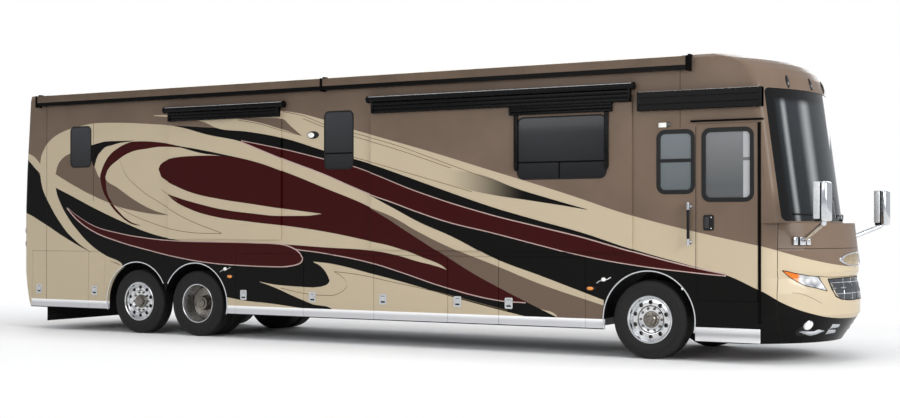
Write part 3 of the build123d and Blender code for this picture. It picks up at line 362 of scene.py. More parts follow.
bands = [
    {"paint": "cream", "upper": rearDark, "lower": [(-8.05, ground), (-4.40, ground)]},
    {"paint": "black", "upper": [(-8.05, 2.88), (-6.72, 2.83), *sickleLow[1:]], "lower": rearDark},
    {"paint": "cream", "upper": [(-8.05, 3.0), (-6.72, 2.93), (-6.37, 2.73), (-6.30, 2.60)],
     "lower": [(-8.05, 2.88), (-6.72, 2.83), (-6.37, 2.58), (-6.30, 2.55)]},
    {"paint": "black", "upper": middleEdge, "lower": [(-3.42, ground), (8.05, ground)]},
    {"paint": "cream", "upper": topEdge, "lower": [*creamLow, *middleEdge[4:]]},
    {"paint": "taupe", "upper": [(-2.17, 3.325), (-1.74, 3.315), (-1.36, 3.29), (-1.20, 3.17), (-1.01, 3.03)],
     "lower": [(-2.17, 3.32), (-1.74, 3.24), (-1.38, 3.14), (-1.01, 3.028)]},
    {"paint": "cream", "upper": sweepTop, "lower": [*sickleLow, (-4.50, ground), (3.83, ground)]},
    {"paint": "black",
     "upper": [(-6.01, 2.33), (-5.70, 2.21), (-5.18, 2.00), (-4.63, 1.80), (-4.01, 1.60), (-3.58, 1.51),
               *lowCreamEdge, (2.28, 0.87), (2.88, 0.61), (3.17, 0.49)],
     "lower": [*sickleInner, (-4.48, ground), (3.17, ground)]},
    {"paint": "taupe",
     "upper": [(-6.01, 2.55), (-5.97, 2.68), (-5.89, 2.78), (-5.69, 2.88), (-5.23, 2.90), (-5.05, 2.70),
               (-4.91, 2.46), (-4.64, 2.31), (-4.28, 2.11), (-3.92, 1.96), (-3.58, 1.87)],
     "lower": [(-6.01, 2.55), (-5.60, 2.36), (-5.18, 2.20), (-4.63, 2.01), (-4.28, 1.94), (-3.92, 1.89),
               (-3.58, 1.865)]},
    {"paint": "black", "upper": [(-5.26, 3.00), (-4.82, 3.06), (-4.30, 3.055)],
     "lower": [(-5.26, 2.88), (-5.14, 2.66), (-5.08, 2.70), (-5.00, 2.90), (-4.73, 3.00), (-4.30, 3.05)]},
    {"paint": "cream", "upper": [(-5.14, 2.66), (-5.10, 2.78), (-5.00, 2.90), (-4.73, 3.00), (-4.30, 3.05)],
     "lower": [(-5.14, 2.65), (-5.02, 2.48), (-4.80, 2.60), (-4.30, 3.0)]},
    {"paint": "maroon",
     "upper": [(-5.02, 2.51), (-4.98, 2.61), (-4.93, 2.70), (-4.82, 2.83), (-4.64, 2.94), (-4.46, 3.01),
               (-4.28, 3.04), (-3.75, 3.01), (-3.22, 2.92)],
     "lower": [(-5.02, 2.50), (-4.91, 2.50), (-4.86, 2.59), (-4.66, 2.74), (-4.37, 2.87), (-4.01, 2.92),
               (-3.75, 2.94), (-3.22, 2.91)]},
    {"paint": "maroon",
     "upper": [(-5.02, 2.51), (-4.91, 2.51), (-4.88, 2.29), (-4.77, 2.09), (-4.59, 1.91), (-4.37, 1.77),
               (-4.17, 1.71)],
     "lower": [(-5.02, 2.50), (-5.00, 2.39), (-4.95, 2.25), (-4.86, 2.12), (-4.77, 2.01), (-4.54, 1.83),
               (-4.37, 1.74), (-4.17, 1.70)]},
    {"paint": "black", "upper": [(-3.40, 2.95), (-2.90, 2.87), (-2.10, 2.72)],
     "lower": [(-3.40, 2.94), (-2.90, 2.82), (-2.60, 2.78), (-2.10, 2.715)]},
    {"paint": "maroon", "upper": bodyMaroonTop, "lower": bodyMaroonLow},
    {"paint": "cream",
     "upper": [(-3.80, 2.52), (-3.64, 2.42), (-3.41, 2.32), (-3.03, 2.20), (-2.53, 2.11), (-1.92, 2.03),
               (-1.37, 1.96), (-0.66, 1.88)],
     "lower": [(-3.80, 2.50), (-3.70, 2.30), (-3.60, 2.22), (-3.36, 2.14), (-2.94, 2.04), (-2.53, 1.96),
               (-1.92, 1.89), (-1.37, 1.85), (-0.95, 1.85), (-0.66, 1.875)]},
    {"paint": "maroon", "edge": "lower",
     "upper": [*lowCreamEdge[3:], (1.60, 1.03), (1.89, 0.95), (2.28, 0.80), (2.69, 0.69)], "lower": lowMaroonLow},
    {"paint": "maroon", "edge": "both",
     "upper": [(-5.74, 1.99), (-5.46, 1.83), (-5.14, 1.69), (-4.63, 1.58), (-4.01, 1.50), (-3.40, 1.46),
               (-2.73, 1.45), (-1.92, 1.44), (-1.39, 1.42), (-1.21, 1.38), (-1.06, 1.30), (-1.00, 1.22)],
     "lower": [(-5.74, 1.99), (-5.51, 1.80), (-5.14, 1.61), (-4.63, 1.46), (-4.01, 1.33), (-3.40, 1.22),
               (-2.73, 1.14), (-2.12, 1.11), (-1.52, 1.10), (-1.14, 1.13), (-1.02, 1.18), (-1.00, 1.22)]},
    {"paint": "taupe",
     "upper": [(0.22, 1.96), (0.59, 1.83), (1.02, 1.62), (1.55, 1.40), (2.28, 1.15), (2.88, 0.94), (3.83, 0.67)],
     "lower": [(0.22, 1.95), (0.59, 1.76), (1.02, 1.52), (1.48, 1.27), (1.89, 1.05), (2.28, 0.87), (2.88, 0.61),
               (3.17, 0.49), (3.20, ground), (3.83, ground)]},
    {"paint": "maroon", "edge": "both", "upper": longMaroonTop, "lower": longMaroonLow},
    {"paint": "black", "fade": (1.35, 2.70),
     "upper": [(1.30, 2.50), (1.82, 2.44), (2.09, 2.38), (2.56, 2.21), (3.05, 2.07), (3.61, 1.92)],
     "lower": [(1.30, 2.34), (1.82, 2.20), (2.23, 2.12), (2.72, 2.05), (3.20, 1.98), (3.61, 1.915)]},
    {"paint": "cream", "upper": hookTop,
     "lower": [(-0.80, 0.555), (-0.46, 0.49), (-0.42, ground), (2.69, ground)]},
    {"paint": "cream", "upper": [(-1.78, 0.865), (-1.52, 0.83), (-1.14, 0.81), (-0.80, 0.80)],
     "lower": [(-1.78, 0.86), (-1.52, 0.79), (-1.14, 0.66), (-0.80, 0.55)]},
    {"paint": "black", "upper": [(-0.80, 1.175), (-0.65, 1.10), (-0.55, 0.99), (-0.51, 0.91)],
     "lower": [(-0.80, 0.80), (-0.61, 0.83), (-0.53, 0.87), (-0.51, 0.90)]},
    {"paint": "cream", "upper": [(-2.42, 0.62), (-2.12, 0.58), (-1.52, 0.54), (-0.98, 0.49)],
     "lower": [(-2.42, ground), (-0.98, ground)]},
    {"paint": "amber", "upper": [(6.28, 1.16), (6.40, 1.145), (6.52, 1.13)],
     "lower": [(6.28, 1.155), (6.41, 1.08), (6.52, 1.035)]},
    {"paint": "pencilAndCreaseShade", "line": 0.010,
     "upper": [(-4.60, 2.76), (-4.50, 2.56), (-4.21, 2.31), (-3.70, 2.04), (-3.19, 1.81), (-2.49, 1.59)]},
    {"paint": "pencilAndCreaseShade", "line": 0.009,
     "upper": [(-5.75, 2.43), (-5.20, 2.20), (-4.70, 2.03), (-4.37, 1.89), (-3.93, 1.75), (-3.50, 1.65),
               (-2.96, 1.59), (-2.49, 1.585)]},
    {"paint": "pencilAndCreaseShade", "line": 0.009, "upper": [(-3.72, 2.27), (-3.58, 2.19), (-3.38, 2.10)]},
    {"paint": "pencilAndCreaseShade", "line": 0.009,
     "upper": [(-1.36, 3.40), (-0.99, 3.32), (-0.60, 3.18), (-0.09, 3.04), (0.20, 2.965), (0.69, 2.83),
               (1.20, 2.66), (1.64, 2.51), (2.18, 2.33)]},
    {"paint": "pencilAndCreaseShade", "line": 0.009,
     "upper": [(-0.99, 3.28), (-0.60, 3.14), (-0.09, 2.99), (0.35, 2.87), (0.80, 2.74), (1.36, 2.56),
               (1.55, 2.50)]},
    {"paint": "pencilAndCreaseShade", "line": 0.009,
     "upper": [(-0.09, 2.69), (0.35, 2.58), (0.83, 2.45), (1.36, 2.31), (1.88, 2.17)]},
    {"paint": "pencilAndCreaseShade", "line": 0.009, "upper": [(-2.17, 3.30), (-1.74, 3.22), (-1.38, 3.12), (-1.01, 3.03)]},
    {"paint": "pencilAndCreaseShade", "line": 0.009,
     "upper": [(-0.43, 1.04), (0.02, 1.00), (0.51, 0.92), (1.17, 0.81), (1.79, 0.69), (2.41, 0.56)]},
    {"paint": "pencilAndCreaseShade", "line": 0.009, "upper": [(-0.43, 1.04), (-0.30, 0.97), (-0.22, 0.89), (-0.20, 0.83)]},
    {"paint": "pencilAndCreaseShade", "line": 0.009,
     "upper": [(-1.39, 0.78), (-0.96, 0.71), (-0.53, 0.69), (-0.28, 0.76), (-0.20, 0.83)]},
    # painted shade: the next two lines on the nose are painted shadows along the crease under the brow over the lamps
    # and along a lower crease
    {"paint": "pencilAndCreaseShade", "line": 0.009,
     "upper": [(6.23, 1.172), (6.31, 1.165), (6.55, 1.128), (6.84, 1.10), (7.22, 1.07), (7.60, 1.067),
               (8.00, 1.075)]},
    {"paint": "pencilAndCreaseShade", "line": 0.006, "upper": [(6.45, 0.885), (6.62, 0.87), (6.82, 0.82), (7.04, 0.75)]},
]
pinstripeWidth = 0.014
tallest = 4.0  # heights are held in the curves as a share of this

# x, lower and upper height of each upright seam in the skin of the caps and walls
seams = [(-6.212, 0.36, 3.86), (6.112, 0.25, 1.74), (-5.165, 2.10, 3.36)]
kerbSeams = [(4.885, 2.95, 3.69), (-3.572, 1.50, 3.26), (0.213, 1.38, 3.30), (5.090, 1.15, 2.95)]
seamHalf = 0.0035
hood = {"z": 1.425, "from": 6.112}
strip = {"top": 0.492, "greyTo": 0.43, "line": 0.373, "from": -6.56, "to": 5.06}


def edgeCurve(graph, share, points, start, end):
    node = graph.add("ShaderNodeFloatCurve")
    graph.links.new(share, node.inputs["Value"])
    curve = node.mapping.curves[0]
    places = [((s - start) / (end - start), z / tallest) for s, z in points]
    for knot, place in zip(curve.points, (places[0], places[-1])):
        knot.location = place
    for place in places[1:-1]:
        curve.points.new(*place)
    for knot in curve.points:
        knot.handle_type = "AUTO_CLAMPED"
    node.mapping.update()
    return node.outputs[0]


def paintBand(graph, along, height, colour, band):
    points = band["upper"] + band.get("lower", [])
    start, end = min(s for s, z in points), max(s for s, z in points)
    share = graph.span(along, start, end)
    upper = edgeCurve(graph, share, band["upper"], start, end)
    inside = graph.within(along, start, end)
    paint = shade(paints[band["paint"]])
    if "line" in band:
        near = graph.lineAt(height, upper, band["line"] / tallest / 2)
        return graph.mix(graph.math("MULTIPLY", near, inside), colour, paint)
    lower = edgeCurve(graph, share, band["lower"], start, end)
    edge = band.get("edge")
    if edge:
        width = pinstripeWidth / tallest
        around, high, low = inside, upper, graph.math("SUBTRACT", lower, width)
        if edge == "both":  # the pinstripe runs round the ends too
            ends = start - pinstripeWidth, end + pinstripeWidth
            longer = graph.span(along, *ends)
            high = graph.math("ADD", edgeCurve(graph, longer, band["upper"], start, end), width)
            low = graph.math("SUBTRACT", edgeCurve(graph, longer, band["lower"], start, end), width)
            around = graph.within(along, *ends)
        wide = graph.within(height, low, high)
        colour = graph.mix(graph.math("MULTIPLY", wide, around), colour, shade(paints["pinstripe"]))
    mask = graph.math("MULTIPLY", graph.within(height, lower, upper), inside)
    if "fade" in band:
        mask = graph.math("MULTIPLY", mask, graph.span(along, *band["fade"], smooth=True))
    return graph.mix(mask, colour, paint)


def makeLivery():
    graph = Graph("livery")
    x, y, z = graph.axes()
    inwards = graph.math("SUBTRACT", halfWidth, graph.math("ABSOLUTE", y))
    inwards = graph.math("MAXIMUM", inwards, 0.0)
    along = graph.math("ADD", x, graph.math("MULTIPLY", inwards, graph.math("SIGN", x)))
    height = graph.math("DIVIDE", z, tallest)
    cloud = graph.noise(1.3, detail=3.0)
    colour = graph.mix(graph.ramp(cloud, 0, 1), shade(paints["taupe"]), shade(paints["taupeLight"]))
    for band in bands:
        colour = paintBand(graph, along, height, colour, band)
    onKerb = graph.math("LESS_THAN", y, 0.0)
    dark = shade(paints["seam"])
    for seam in seams + kerbSeams:
        seamX, low, high = seam
        near = graph.lineAt(x, seamX, seamHalf)
        if seam in kerbSeams:
            near = graph.math("MULTIPLY", near, onKerb)
        colour = graph.mix(graph.math("MULTIPLY", near, graph.within(z, low, high)), colour, dark)
    near = graph.lineAt(z, hood["z"], seamHalf)
    colour = graph.mix(graph.math("MULTIPLY", near, graph.math("GREATER_THAN", x, hood["from"])), colour, dark)
    # the bright strip along the foot of the sides, painted from grey up to white towards its top, a painted
    # highlight, with a dark seam below it
    low = graph.math("LESS_THAN", z, strip["top"])
    bright = graph.math("MULTIPLY", low, graph.within(x, strip["from"], strip["to"]))
    metal = graph.mix(graph.span(z, strip["greyTo"], strip["top"], smooth=True), shade(paints["stripLow"]),
                      shade(paints["stripHigh"]))
    metal = graph.mix(graph.math("LESS_THAN", z, strip["line"]), metal, dark)
    colour = graph.mix(bright, colour, metal)
    graph.links.new(graph.math("MULTIPLY", bright, 0.15), graph.shader.inputs["Metallic"])
    skin = graph.noise(260, detail=1.0)
    graph.bump(skin, 0.15, 0.0002)
    rough = graph.ramp(graph.noise(4), 0.20, 0.27)
    return graph.finish(colour, rough, Coat_Weight=0.05, Coat_Roughness=0.08, Specular_IOR_Level=0.08)


look["livery"] = makeLivery()
print("painted bands made")


# the black foot stands for the case's dark lead rail and the painted shade under the case
caseFoot = 3.728  # where the black foot of the long case ends


def makeAwningCase():
    # brown above a black foot on the long case, which stands for its dark lead rail and the painted shade under the
    # case; black below the eaves
    graph = Graph("awningCase")
    above = graph.math("GREATER_THAN", graph.axes()[2], caseFoot)
    cloud = graph.noise(2.0)
    brown = graph.mix(graph.ramp(cloud, 0, 1), shade("5E5044"), shade("69594B"))
    colour = graph.mix(above, shade("040404"), brown)
    graph.bump(graph.noise(40, stretch=(0.02, 1, 1)), 0.3, 0.0006)
    return graph.finish(colour, graph.ramp(cloud, 0.24, 0.34), Specular_IOR_Level=0.08)


lampOutline = {
    "upper": [(6.28, 1.16), (6.55, 1.12), (6.80, 1.09), (7.00, 1.08), (7.17, 0.90)],
    "lower": [(6.28, 1.155), (6.41, 1.08), (6.56, 1.02), (6.71, 0.97), (6.92, 0.94), (7.17, 0.895)],
    "amberEnd": 6.60, "amberSoft": 0.04, "fogBelow": 0.7, "seal": 0.005,
}


def makeLampFaces():
    # a headlamp with an amber outer end, dark round the fog lamps, and red for the tail lamps
    graph = Graph("lampFaces")
    x, y, z = graph.axes()
    along = graph.math("ADD", x, graph.math("SUBTRACT", halfWidth, graph.math("ABSOLUTE", y)))
    height = graph.math("DIVIDE", z, tallest)
    cells = graph.add("ShaderNodeTexVoronoi", feature="SMOOTH_F1")
    cells.inputs["Scale"].default_value = 13
    graph.links.new(graph.place, cells.inputs["Vector"])
    facet = cells.outputs["Distance"]
    clear = graph.mix(graph.math("MULTIPLY", facet, 1.3), shade("FFFFFF"), shade("5C6066"))
    warm = graph.mix(facet, shade("F2862A"), shade("8E3A0A"))
    end, soft = lampOutline["amberEnd"], lampOutline["amberSoft"]
    lens = graph.mix(graph.span(along, end - soft, end + soft, smooth=True), warm, clear)
    start, stop = lampOutline["upper"][0][0], lampOutline["upper"][-1][0]
    share = graph.span(along, start, stop)
    upper = edgeCurve(graph, share, lampOutline["upper"], start, stop)
    lower = edgeCurve(graph, share, lampOutline["lower"], start, stop)
    inside = graph.math("MULTIPLY", graph.within(height, lower, upper), graph.within(along, start, stop))
    colour = graph.mix(inside, shade(paints["cream"]), lens)
    lowLamps = graph.math("LESS_THAN", z, lampOutline["fogBelow"])
    colour = graph.mix(lowLamps, colour, shade(paints["black"]))
    red = graph.mix(facet, shade("7E0C10"), shade("3A0607"))
    colour = graph.mix(graph.math("LESS_THAN", x, 0.0), colour, red)
    graph.bump(facet, 0.4, 0.003)
    rough = graph.math("MULTIPLY_ADD", lowLamps, 0.3, 0.12)
    return graph.finish(colour, rough, Specular_IOR_Level=0.3)


def makeStepMetal():
    # brushed metal that is darker along its middle
    graph = Graph("stepMetal")
    brushed = graph.noise(60, stretch=(0.03, 1, 1))
    dark = between(graph, graph.axes()[2], 0.325, 0.375, 0.045)
    light = graph.mix(graph.ramp(brushed, 0, 1), shade("E3E3E3"), shade("D2D2D3"))
    colour = graph.mix(graph.math("MULTIPLY", dark, 0.75), light, shade("77777A"))
    graph.bump(brushed, 0.3, 0.0004)
    return graph.finish(colour, graph.ramp(brushed, 0.32, 0.42), Metallic=0.2)


look["awningCase"] = makeAwningCase()
look["stepMetal"] = makeStepMetal()
look["lampFaces"] = makeLampFaces()

nodeLooks = {
    "chassis_frame": "framePaint", "engine_block": "castMetal", "front_axle": "framePaint",
    "rear_axles": "framePaint", "floor_deck": "deckBoard", "luggage_bays": "bayMetal", "roof_shell": "roofSkin",
    "grille": "grilleMesh", "lamps": "lampFaces", "bright_trim": "chrome", "wheel_housings": "housingPlastic",
    "rear_flap": "flapRubber", "roof_vents": "roofSkin", "dashboard": "dashPlastic", "seats": "seatLeather",
    "wall_awnings": "awningCase", "mirrors": "chrome", "knuckle_right": "castMetal", "knuckle_left": "castMetal",
}
paintedStarts = ("side_wall", "front_", "rear_cap", "entry_door", "bay_door", "engine_door", "room_")


def dressNodes():
    for name, node in cadNodes.items():
        node.data.materials.clear()
        if name in nodeLooks:
            material = look[nodeLooks[name]]
        elif name == "entry_door_window":
            material = glass["doorGlass"]
        elif name.startswith("room_window"):
            material = glass["darkGlass"]
        elif name == "glazing":
            material = glass["screenGlass"]
        elif name.startswith(paintedStarts):
            material = look["livery"]
        elif name.startswith("tyre"):
            material = look["tyreRubber"]
        elif name.startswith("wheel"):
            material = look["polishedAlloy"]
        else:
            material = look["blackTrim"]
        node.data.materials.append(material)


dressNodes()
print("CAD nodes dressed")


# Making of pieces

def toMesh(bm, name):
    mesh = bpy.data.meshes.new(name)
    bm.to_mesh(mesh)
    bm.free()
    return mesh


def addObject(name, data):
    thing = bpy.data.objects.new(name, data)
    bpy.context.scene.collection.objects.link(thing)
    return thing


def evaluated(thing):
    # a mesh of this object with its modifiers applied
    return bpy.data.meshes.new_from_object(thing.evaluated_get(bpy.context.evaluated_depsgraph_get()))


def addPiece(name, bm, materials, body, sharp=35, bevel=0.0, merge=True):
    if merge:
        bmesh.ops.remove_doubles(bm, verts=bm.verts, dist=1e-5)
    bmesh.ops.recalc_face_normals(bm, faces=bm.faces)
    mesh = toMesh(bm, name)
    for material in materials if isinstance(materials, (list, tuple)) else [materials]:
        mesh.materials.append(material)
    mesh.polygons.foreach_set("use_smooth", [True] * len(mesh.polygons))
    mesh.set_sharp_from_angle(angle=math.radians(sharp))
    piece = addObject(name, mesh)
    if bevel:
        edges = piece.modifiers.new("edges", "BEVEL")
        edges.width = bevel
        edges.segments = 2
        edges.limit_method = "ANGLE"
        edges.angle_limit = math.radians(40)
    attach(piece, body)
    return piece


def addBox(bm, low, high, slot=0):
    low, high = Vector(low), Vector(high)
    place = Matrix.Translation((low + high) / 2) @ Matrix.Diagonal((*[abs(v) for v in high - low], 1))
    made = bmesh.ops.create_cube(bm, size=1.0, matrix=place)
    paintFaces(made["verts"], slot)
    return made["verts"]


def addRod(bm, start, end, radius, endRadius=None, steps=24, slot=0):
    start, end = Vector(start), Vector(end)
    turn = (end - start).to_track_quat("Z", "Y").to_matrix().to_4x4()
    made = bmesh.ops.create_cone(
        bm, cap_ends=True, segments=steps, radius1=radius, radius2=radius if endRadius is None else endRadius,
        depth=(end - start).length, matrix=Matrix.Translation((start + end) / 2) @ turn)
    paintFaces(made["verts"], slot)
    return made["verts"]


def addSoftBox(bm, low, high, rounding, slot=0, segments=3):
    # a box with rounded edges
    before = set(bm.faces)
    verts = addBox(bm, low, high, slot)
    edges = list({edge for vert in verts for edge in vert.link_edges})
    bmesh.ops.bevel(bm, geom=edges, offset=rounding, offset_type="OFFSET", affect="EDGES", segments=segments,
                    profile=0.5, material=-1)
    fresh = [face for face in bm.faces if face not in before]
    for face in fresh:
        face.material_index = slot
    return list({vert for face in fresh for vert in face.verts})


def paintFaces(verts, slot):
    for vert in verts:
        for face in vert.link_faces:
            face.material_index = slot


def spinLine(bm, points, axis, steps):
    # spins a line of points once round an axis through the origin
    verts = [bm.verts.new(point) for point in points]
    edges = [bm.edges.new(pair) for pair in zip(verts[:-1], verts[1:])]
    bmesh.ops.spin(bm, geom=verts + edges, cent=(0, 0, 0), axis=axis, angle=2 * math.pi, steps=steps,
                   use_merge=True)


def turnProfile(bm, profile, steps):
    # spins (outwards, radius) points about the Y axis, outwards along -Y
    spinLine(bm, [(0, -out, radius) for out, radius in profile], (0, 1, 0), steps)


def roundedOutline(x, z, corner, steps=6):
    # corners of a rounded rectangle between two x and two z, in order
    points = []
    for cx, cz, start in ((x[1] - corner, z[1] - corner, 0), (x[0] + corner, z[1] - corner, 90),
                          (x[0] + corner, z[0] + corner, 180), (x[1] - corner, z[0] + corner, 270)):
        for i in range(steps + 1):
            angle = math.radians(start + 90 * i / steps)
            points.append((cx + corner * math.cos(angle), cz + corner * math.sin(angle)))
    return points


def addPlate(bm, side, inner, outer, x, z, corner, slot=0):
    # a rounded plate in the plane of a side wall
    outline = roundedOutline(x, z, corner)
    face = bm.faces.new([bm.verts.new((px, side * inner, pz)) for px, pz in outline])
    made = bmesh.ops.extrude_face_region(bm, geom=[face])
    moved = [item for item in made["geom"] if isinstance(item, bmesh.types.BMVert)]
    bmesh.ops.translate(bm, verts=moved, vec=(0, side * (outer - inner), 0))
    paintFaces(moved + list(face.verts), slot)


def addFrameRing(bm, side, inner, outer, x, z, corner, width):
    # a rounded ring round an opening, with half its width on each side of the line
    loops = []
    for grow, depth in ((width / 2, inner), (width / 2, outer), (-width / 2, outer), (-width / 2, inner)):
        outline = roundedOutline((x[0] - grow, x[1] + grow), (z[0] - grow, z[1] + grow), corner + grow)
        loops.append([bm.verts.new((px, side * depth, pz)) for px, pz in outline])
    count = len(loops[0])
    for first, second in zip(loops, loops[1:] + loops[:1]):
        for i in range(count):
            j = (i + 1) % count
            bm.faces.new((first[i], first[j], second[j], second[i]))


# Wheels and tyres

tyreShape = {
    "radius": 0.505,
    "grooves": (-0.07, -0.025, 0.025, 0.07),
    "grooveHalf": 0.006,
    "grooveDepth": 0.012,
    "steps": 96,
}


def tyreProfile(width):
    half, outer = width / 2, tyreShape["radius"]
    side = [(half - 0.046, 0.284), (half - 0.026, 0.292), (half - 0.016, 0.306), (half - 0.012, 0.318),
            (half - 0.004, 0.350), (half, 0.392), (half, 0.402), (half - 0.003, 0.404), (half - 0.004, 0.420),
            (half - 0.001, 0.423), (half - 0.005, 0.450), (half - 0.014, 0.474), (half - 0.018, 0.487),
            (half - 0.026, 0.496), (half - 0.036, outer - 0.003)]
    tread = [(half - 0.046, outer)]
    for middle in sorted(tyreShape["grooves"], reverse=True):
        for out, radius in ((tyreShape["grooveHalf"], outer), (tyreShape["grooveHalf"] - 0.002, 0),
                            (-tyreShape["grooveHalf"] + 0.002, 0), (-tyreShape["grooveHalf"], outer)):
            tread.append((middle + out, radius or outer - tyreShape["grooveDepth"]))
    far = [(-out, radius) for out, radius in reversed(side)]
    return side + tread + [(-half + 0.046, outer)] + far


def addTyre(name, replaced, body, x, yMiddles, side, width):
    bm = bmesh.new()
    for yMiddle in yMiddles:
        ring = bmesh.new()
        turnProfile(ring, tyreProfile(width), tyreShape["steps"])
        bmesh.ops.translate(ring, verts=ring.verts, vec=(x, side * yMiddle, tyreShape["radius"]))
        part = toMesh(ring, "part")
        bm.from_mesh(part)
        bpy.data.meshes.remove(part)
    piece = addPiece(name, bm, look["tyreRubber"], body, sharp=40)
    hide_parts(replaced)


wheelShape = {
    "handHoles": 10,
    "handHoleRadius": 0.029,
    "drumRadius": 0.245,
    "drumFrom": 0.09,
    "nuts": 10,
    "nutCircle": 0.143,
    "nutRadius": 0.018,
    "nutHeight": 0.034,
    "nutTip": 0.008,
    "steps": 80,
    "hubSteps": 48,
    "wall": 0.007,
}
dishes = {
    # (outwards from the tyre's middle plane, radius) points of the polished face, and what stands on it
    "front": {"profile": [(-0.13, 0.282), (0.125, 0.288), (0.131, 0.300), (0.137, 0.300), (0.139, 0.295),
                          (0.134, 0.287), (0.112, 0.280), (0.094, 0.274), (0.086, 0.262), (0.090, 0.246),
                          (0.096, 0.228), (0.098, 0.205), (0.094, 0.186), (0.080, 0.174), (0.077, 0.168),
                          (0.077, 0.112), (0.060, 0.108)],
              "holeCircle": 0.222, "holeFrom": 0.03, "holeTo": 0.16, "nutBase": 0.075, "drumTo": 0.055,
              "hub": [(0.060, 0.108), (0.098, 0.106), (0.104, 0.100), (0.107, 0.086), (0.150, 0.080),
                      (0.158, 0.072), (0.159, 0.040), (0.154, 0.037), (0.154, 0.0)]},
    "tag": {"profile": [(-0.115, 0.282), (0.110, 0.288), (0.116, 0.300), (0.122, 0.300), (0.124, 0.295),
                        (0.119, 0.287), (0.098, 0.280), (0.080, 0.274), (0.072, 0.262), (0.076, 0.246),
                        (0.082, 0.228), (0.084, 0.205), (0.080, 0.186), (0.066, 0.174), (0.062, 0.168),
                        (0.062, 0.112), (0.045, 0.108)],
            "holeCircle": 0.222, "holeFrom": 0.02, "holeTo": 0.14, "nutBase": 0.060, "drumTo": 0.040,
            "hub": [(0.045, 0.108), (0.083, 0.106), (0.089, 0.100), (0.092, 0.086), (0.135, 0.080),
                    (0.143, 0.072), (0.144, 0.040), (0.139, 0.037), (0.139, 0.0)]},
    "drive": {"profile": [(0.110, 0.288), (0.116, 0.300), (0.122, 0.300), (0.124, 0.295), (0.119, 0.287),
                          (0.090, 0.280), (0.060, 0.268), (-0.060, 0.262), (-0.105, 0.250), (-0.128, 0.228),
                          (-0.136, 0.205), (-0.140, 0.185), (-0.147, 0.172), (-0.147, 0.112)],
              "holeCircle": 0.212, "holeFrom": -0.22, "holeTo": -0.06, "nutBase": -0.147, "drumTo": -0.165,
              "hub": [(-0.147, 0.124), (-0.080, 0.120), (-0.060, 0.112), (0.010, 0.104), (0.022, 0.098),
                      (0.024, 0.070), (0.040, 0.066), (0.043, 0.058), (0.043, 0.0)]},
}


def addWheel(name, replaced, body, kind, x, yMiddle, side):
    dish = dishes[kind]
    bm = bmesh.new()
    turnProfile(bm, dish["profile"], wheelShape["steps"])
    bmesh.ops.remove_doubles(bm, verts=bm.verts, dist=1e-5)
    bmesh.ops.recalc_face_normals(bm, faces=bm.faces)
    mesh = toMesh(bm, "disc")
    disc = addObject("disc", mesh)
    wall = disc.modifiers.new("wall", "SOLIDIFY")
    wall.thickness = wheelShape["wall"]
    wall.offset = -1 if kind == "drive" else 1
    cutter = bmesh.new()
    for i in range(wheelShape["handHoles"]):
        angle = 2 * math.pi * (i + 0.5) / wheelShape["handHoles"]
        px, pz = dish["holeCircle"] * math.cos(angle), dish["holeCircle"] * math.sin(angle)
        addRod(cutter, (px, -dish["holeFrom"], pz), (px, -dish["holeTo"], pz), wheelShape["handHoleRadius"])
    bmesh.ops.recalc_face_normals(cutter, faces=cutter.faces)
    cutMesh = toMesh(cutter, "holes")
    holes = addObject("holes", cutMesh)
    cut = disc.modifiers.new("cut", "BOOLEAN")
    cut.object = holes
    cut.operation = "DIFFERENCE"
    cut.solver = "EXACT"
    made = evaluated(disc)
    bm = bmesh.new()
    bm.from_mesh(made)
    for spare in (disc, holes):
        bpy.data.objects.remove(spare)
    for spare in (mesh, cutMesh, made):
        bpy.data.meshes.remove(spare)
    first = len(bm.faces)
    turnProfile(bm, dish["hub"], wheelShape["hubSteps"])
    drumFirst = len(bm.faces)
    addRod(bm, (0, wheelShape["drumFrom"], 0), (0, -dish["drumTo"], 0), wheelShape["drumRadius"],
           steps=wheelShape["hubSteps"])
    drumEnd = len(bm.faces)
    for i in range(wheelShape["nuts"]):
        angle = 2 * math.pi * i / wheelShape["nuts"]
        px, pz = wheelShape["nutCircle"] * math.cos(angle), wheelShape["nutCircle"] * math.sin(angle)
        base, tall = dish["nutBase"], wheelShape["nutHeight"]
        step = (px, -base - tall * 0.6, pz)
        addRod(bm, (px, -base, pz), step, wheelShape["nutRadius"], steps=6)
        addRod(bm, step, (px, -base - tall, pz), wheelShape["nutRadius"] * 0.8, wheelShape["nutTip"], 16)
    bm.faces.ensure_lookup_table()
    for face in bm.faces[first:]:
        face.material_index = 1
    for face in bm.faces[drumFirst:drumEnd]:  # by place in the table, which isn't the order of making
        face.material_index = 2
    if side > 0:
        bmesh.ops.rotate(bm, verts=bm.verts, cent=(0, 0, 0), matrix=Matrix.Rotation(math.pi, 3, "Z"))
    bmesh.ops.translate(bm, verts=bm.verts, vec=(x, side * yMiddle, tyreShape["radius"]))
    piece = addPiece(name, bm, [look["polishedAlloy"], look["hubChromeDarkReflection"], look["framePaint"]], body, sharp=32)
    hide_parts(replaced)


axles = {
    "front": {"x": 4.455, "y": 1.105, "width": 0.31},
    "tag": {"x": -4.225, "y": 1.11, "width": 0.28},
    "drive": {"x": -3.03, "y": 1.11, "width": 0.28, "pitch": 0.33},
}


def addWheels():
    for side, word in words.items():
        for kind, axle in axles.items():
            middles = [axle["y"], axle["y"] - axle["pitch"]] if kind == "drive" else [axle["y"]]
            body = f"drive_wheels_{word}" if kind == "drive" else f"{kind}_wheel_{word}"
            tyreNode = f"tyres_drive_{word}" if kind == "drive" else f"tyre_{kind}_{word}"
            wheelNode = f"wheels_drive_{word}" if kind == "drive" else f"wheel_{kind}_{word}"
            addTyre(f"roadTyre_{kind}_{word}", tyreNode, body, axle["x"], middles, side, axle["width"])
            addWheel(f"polishedWheel_{kind}_{word}", wheelNode, body, kind, axle["x"], axle["y"], side)


addWheels()
print("wheels made")


# Windows: seals, bars and lighter panes in the cab

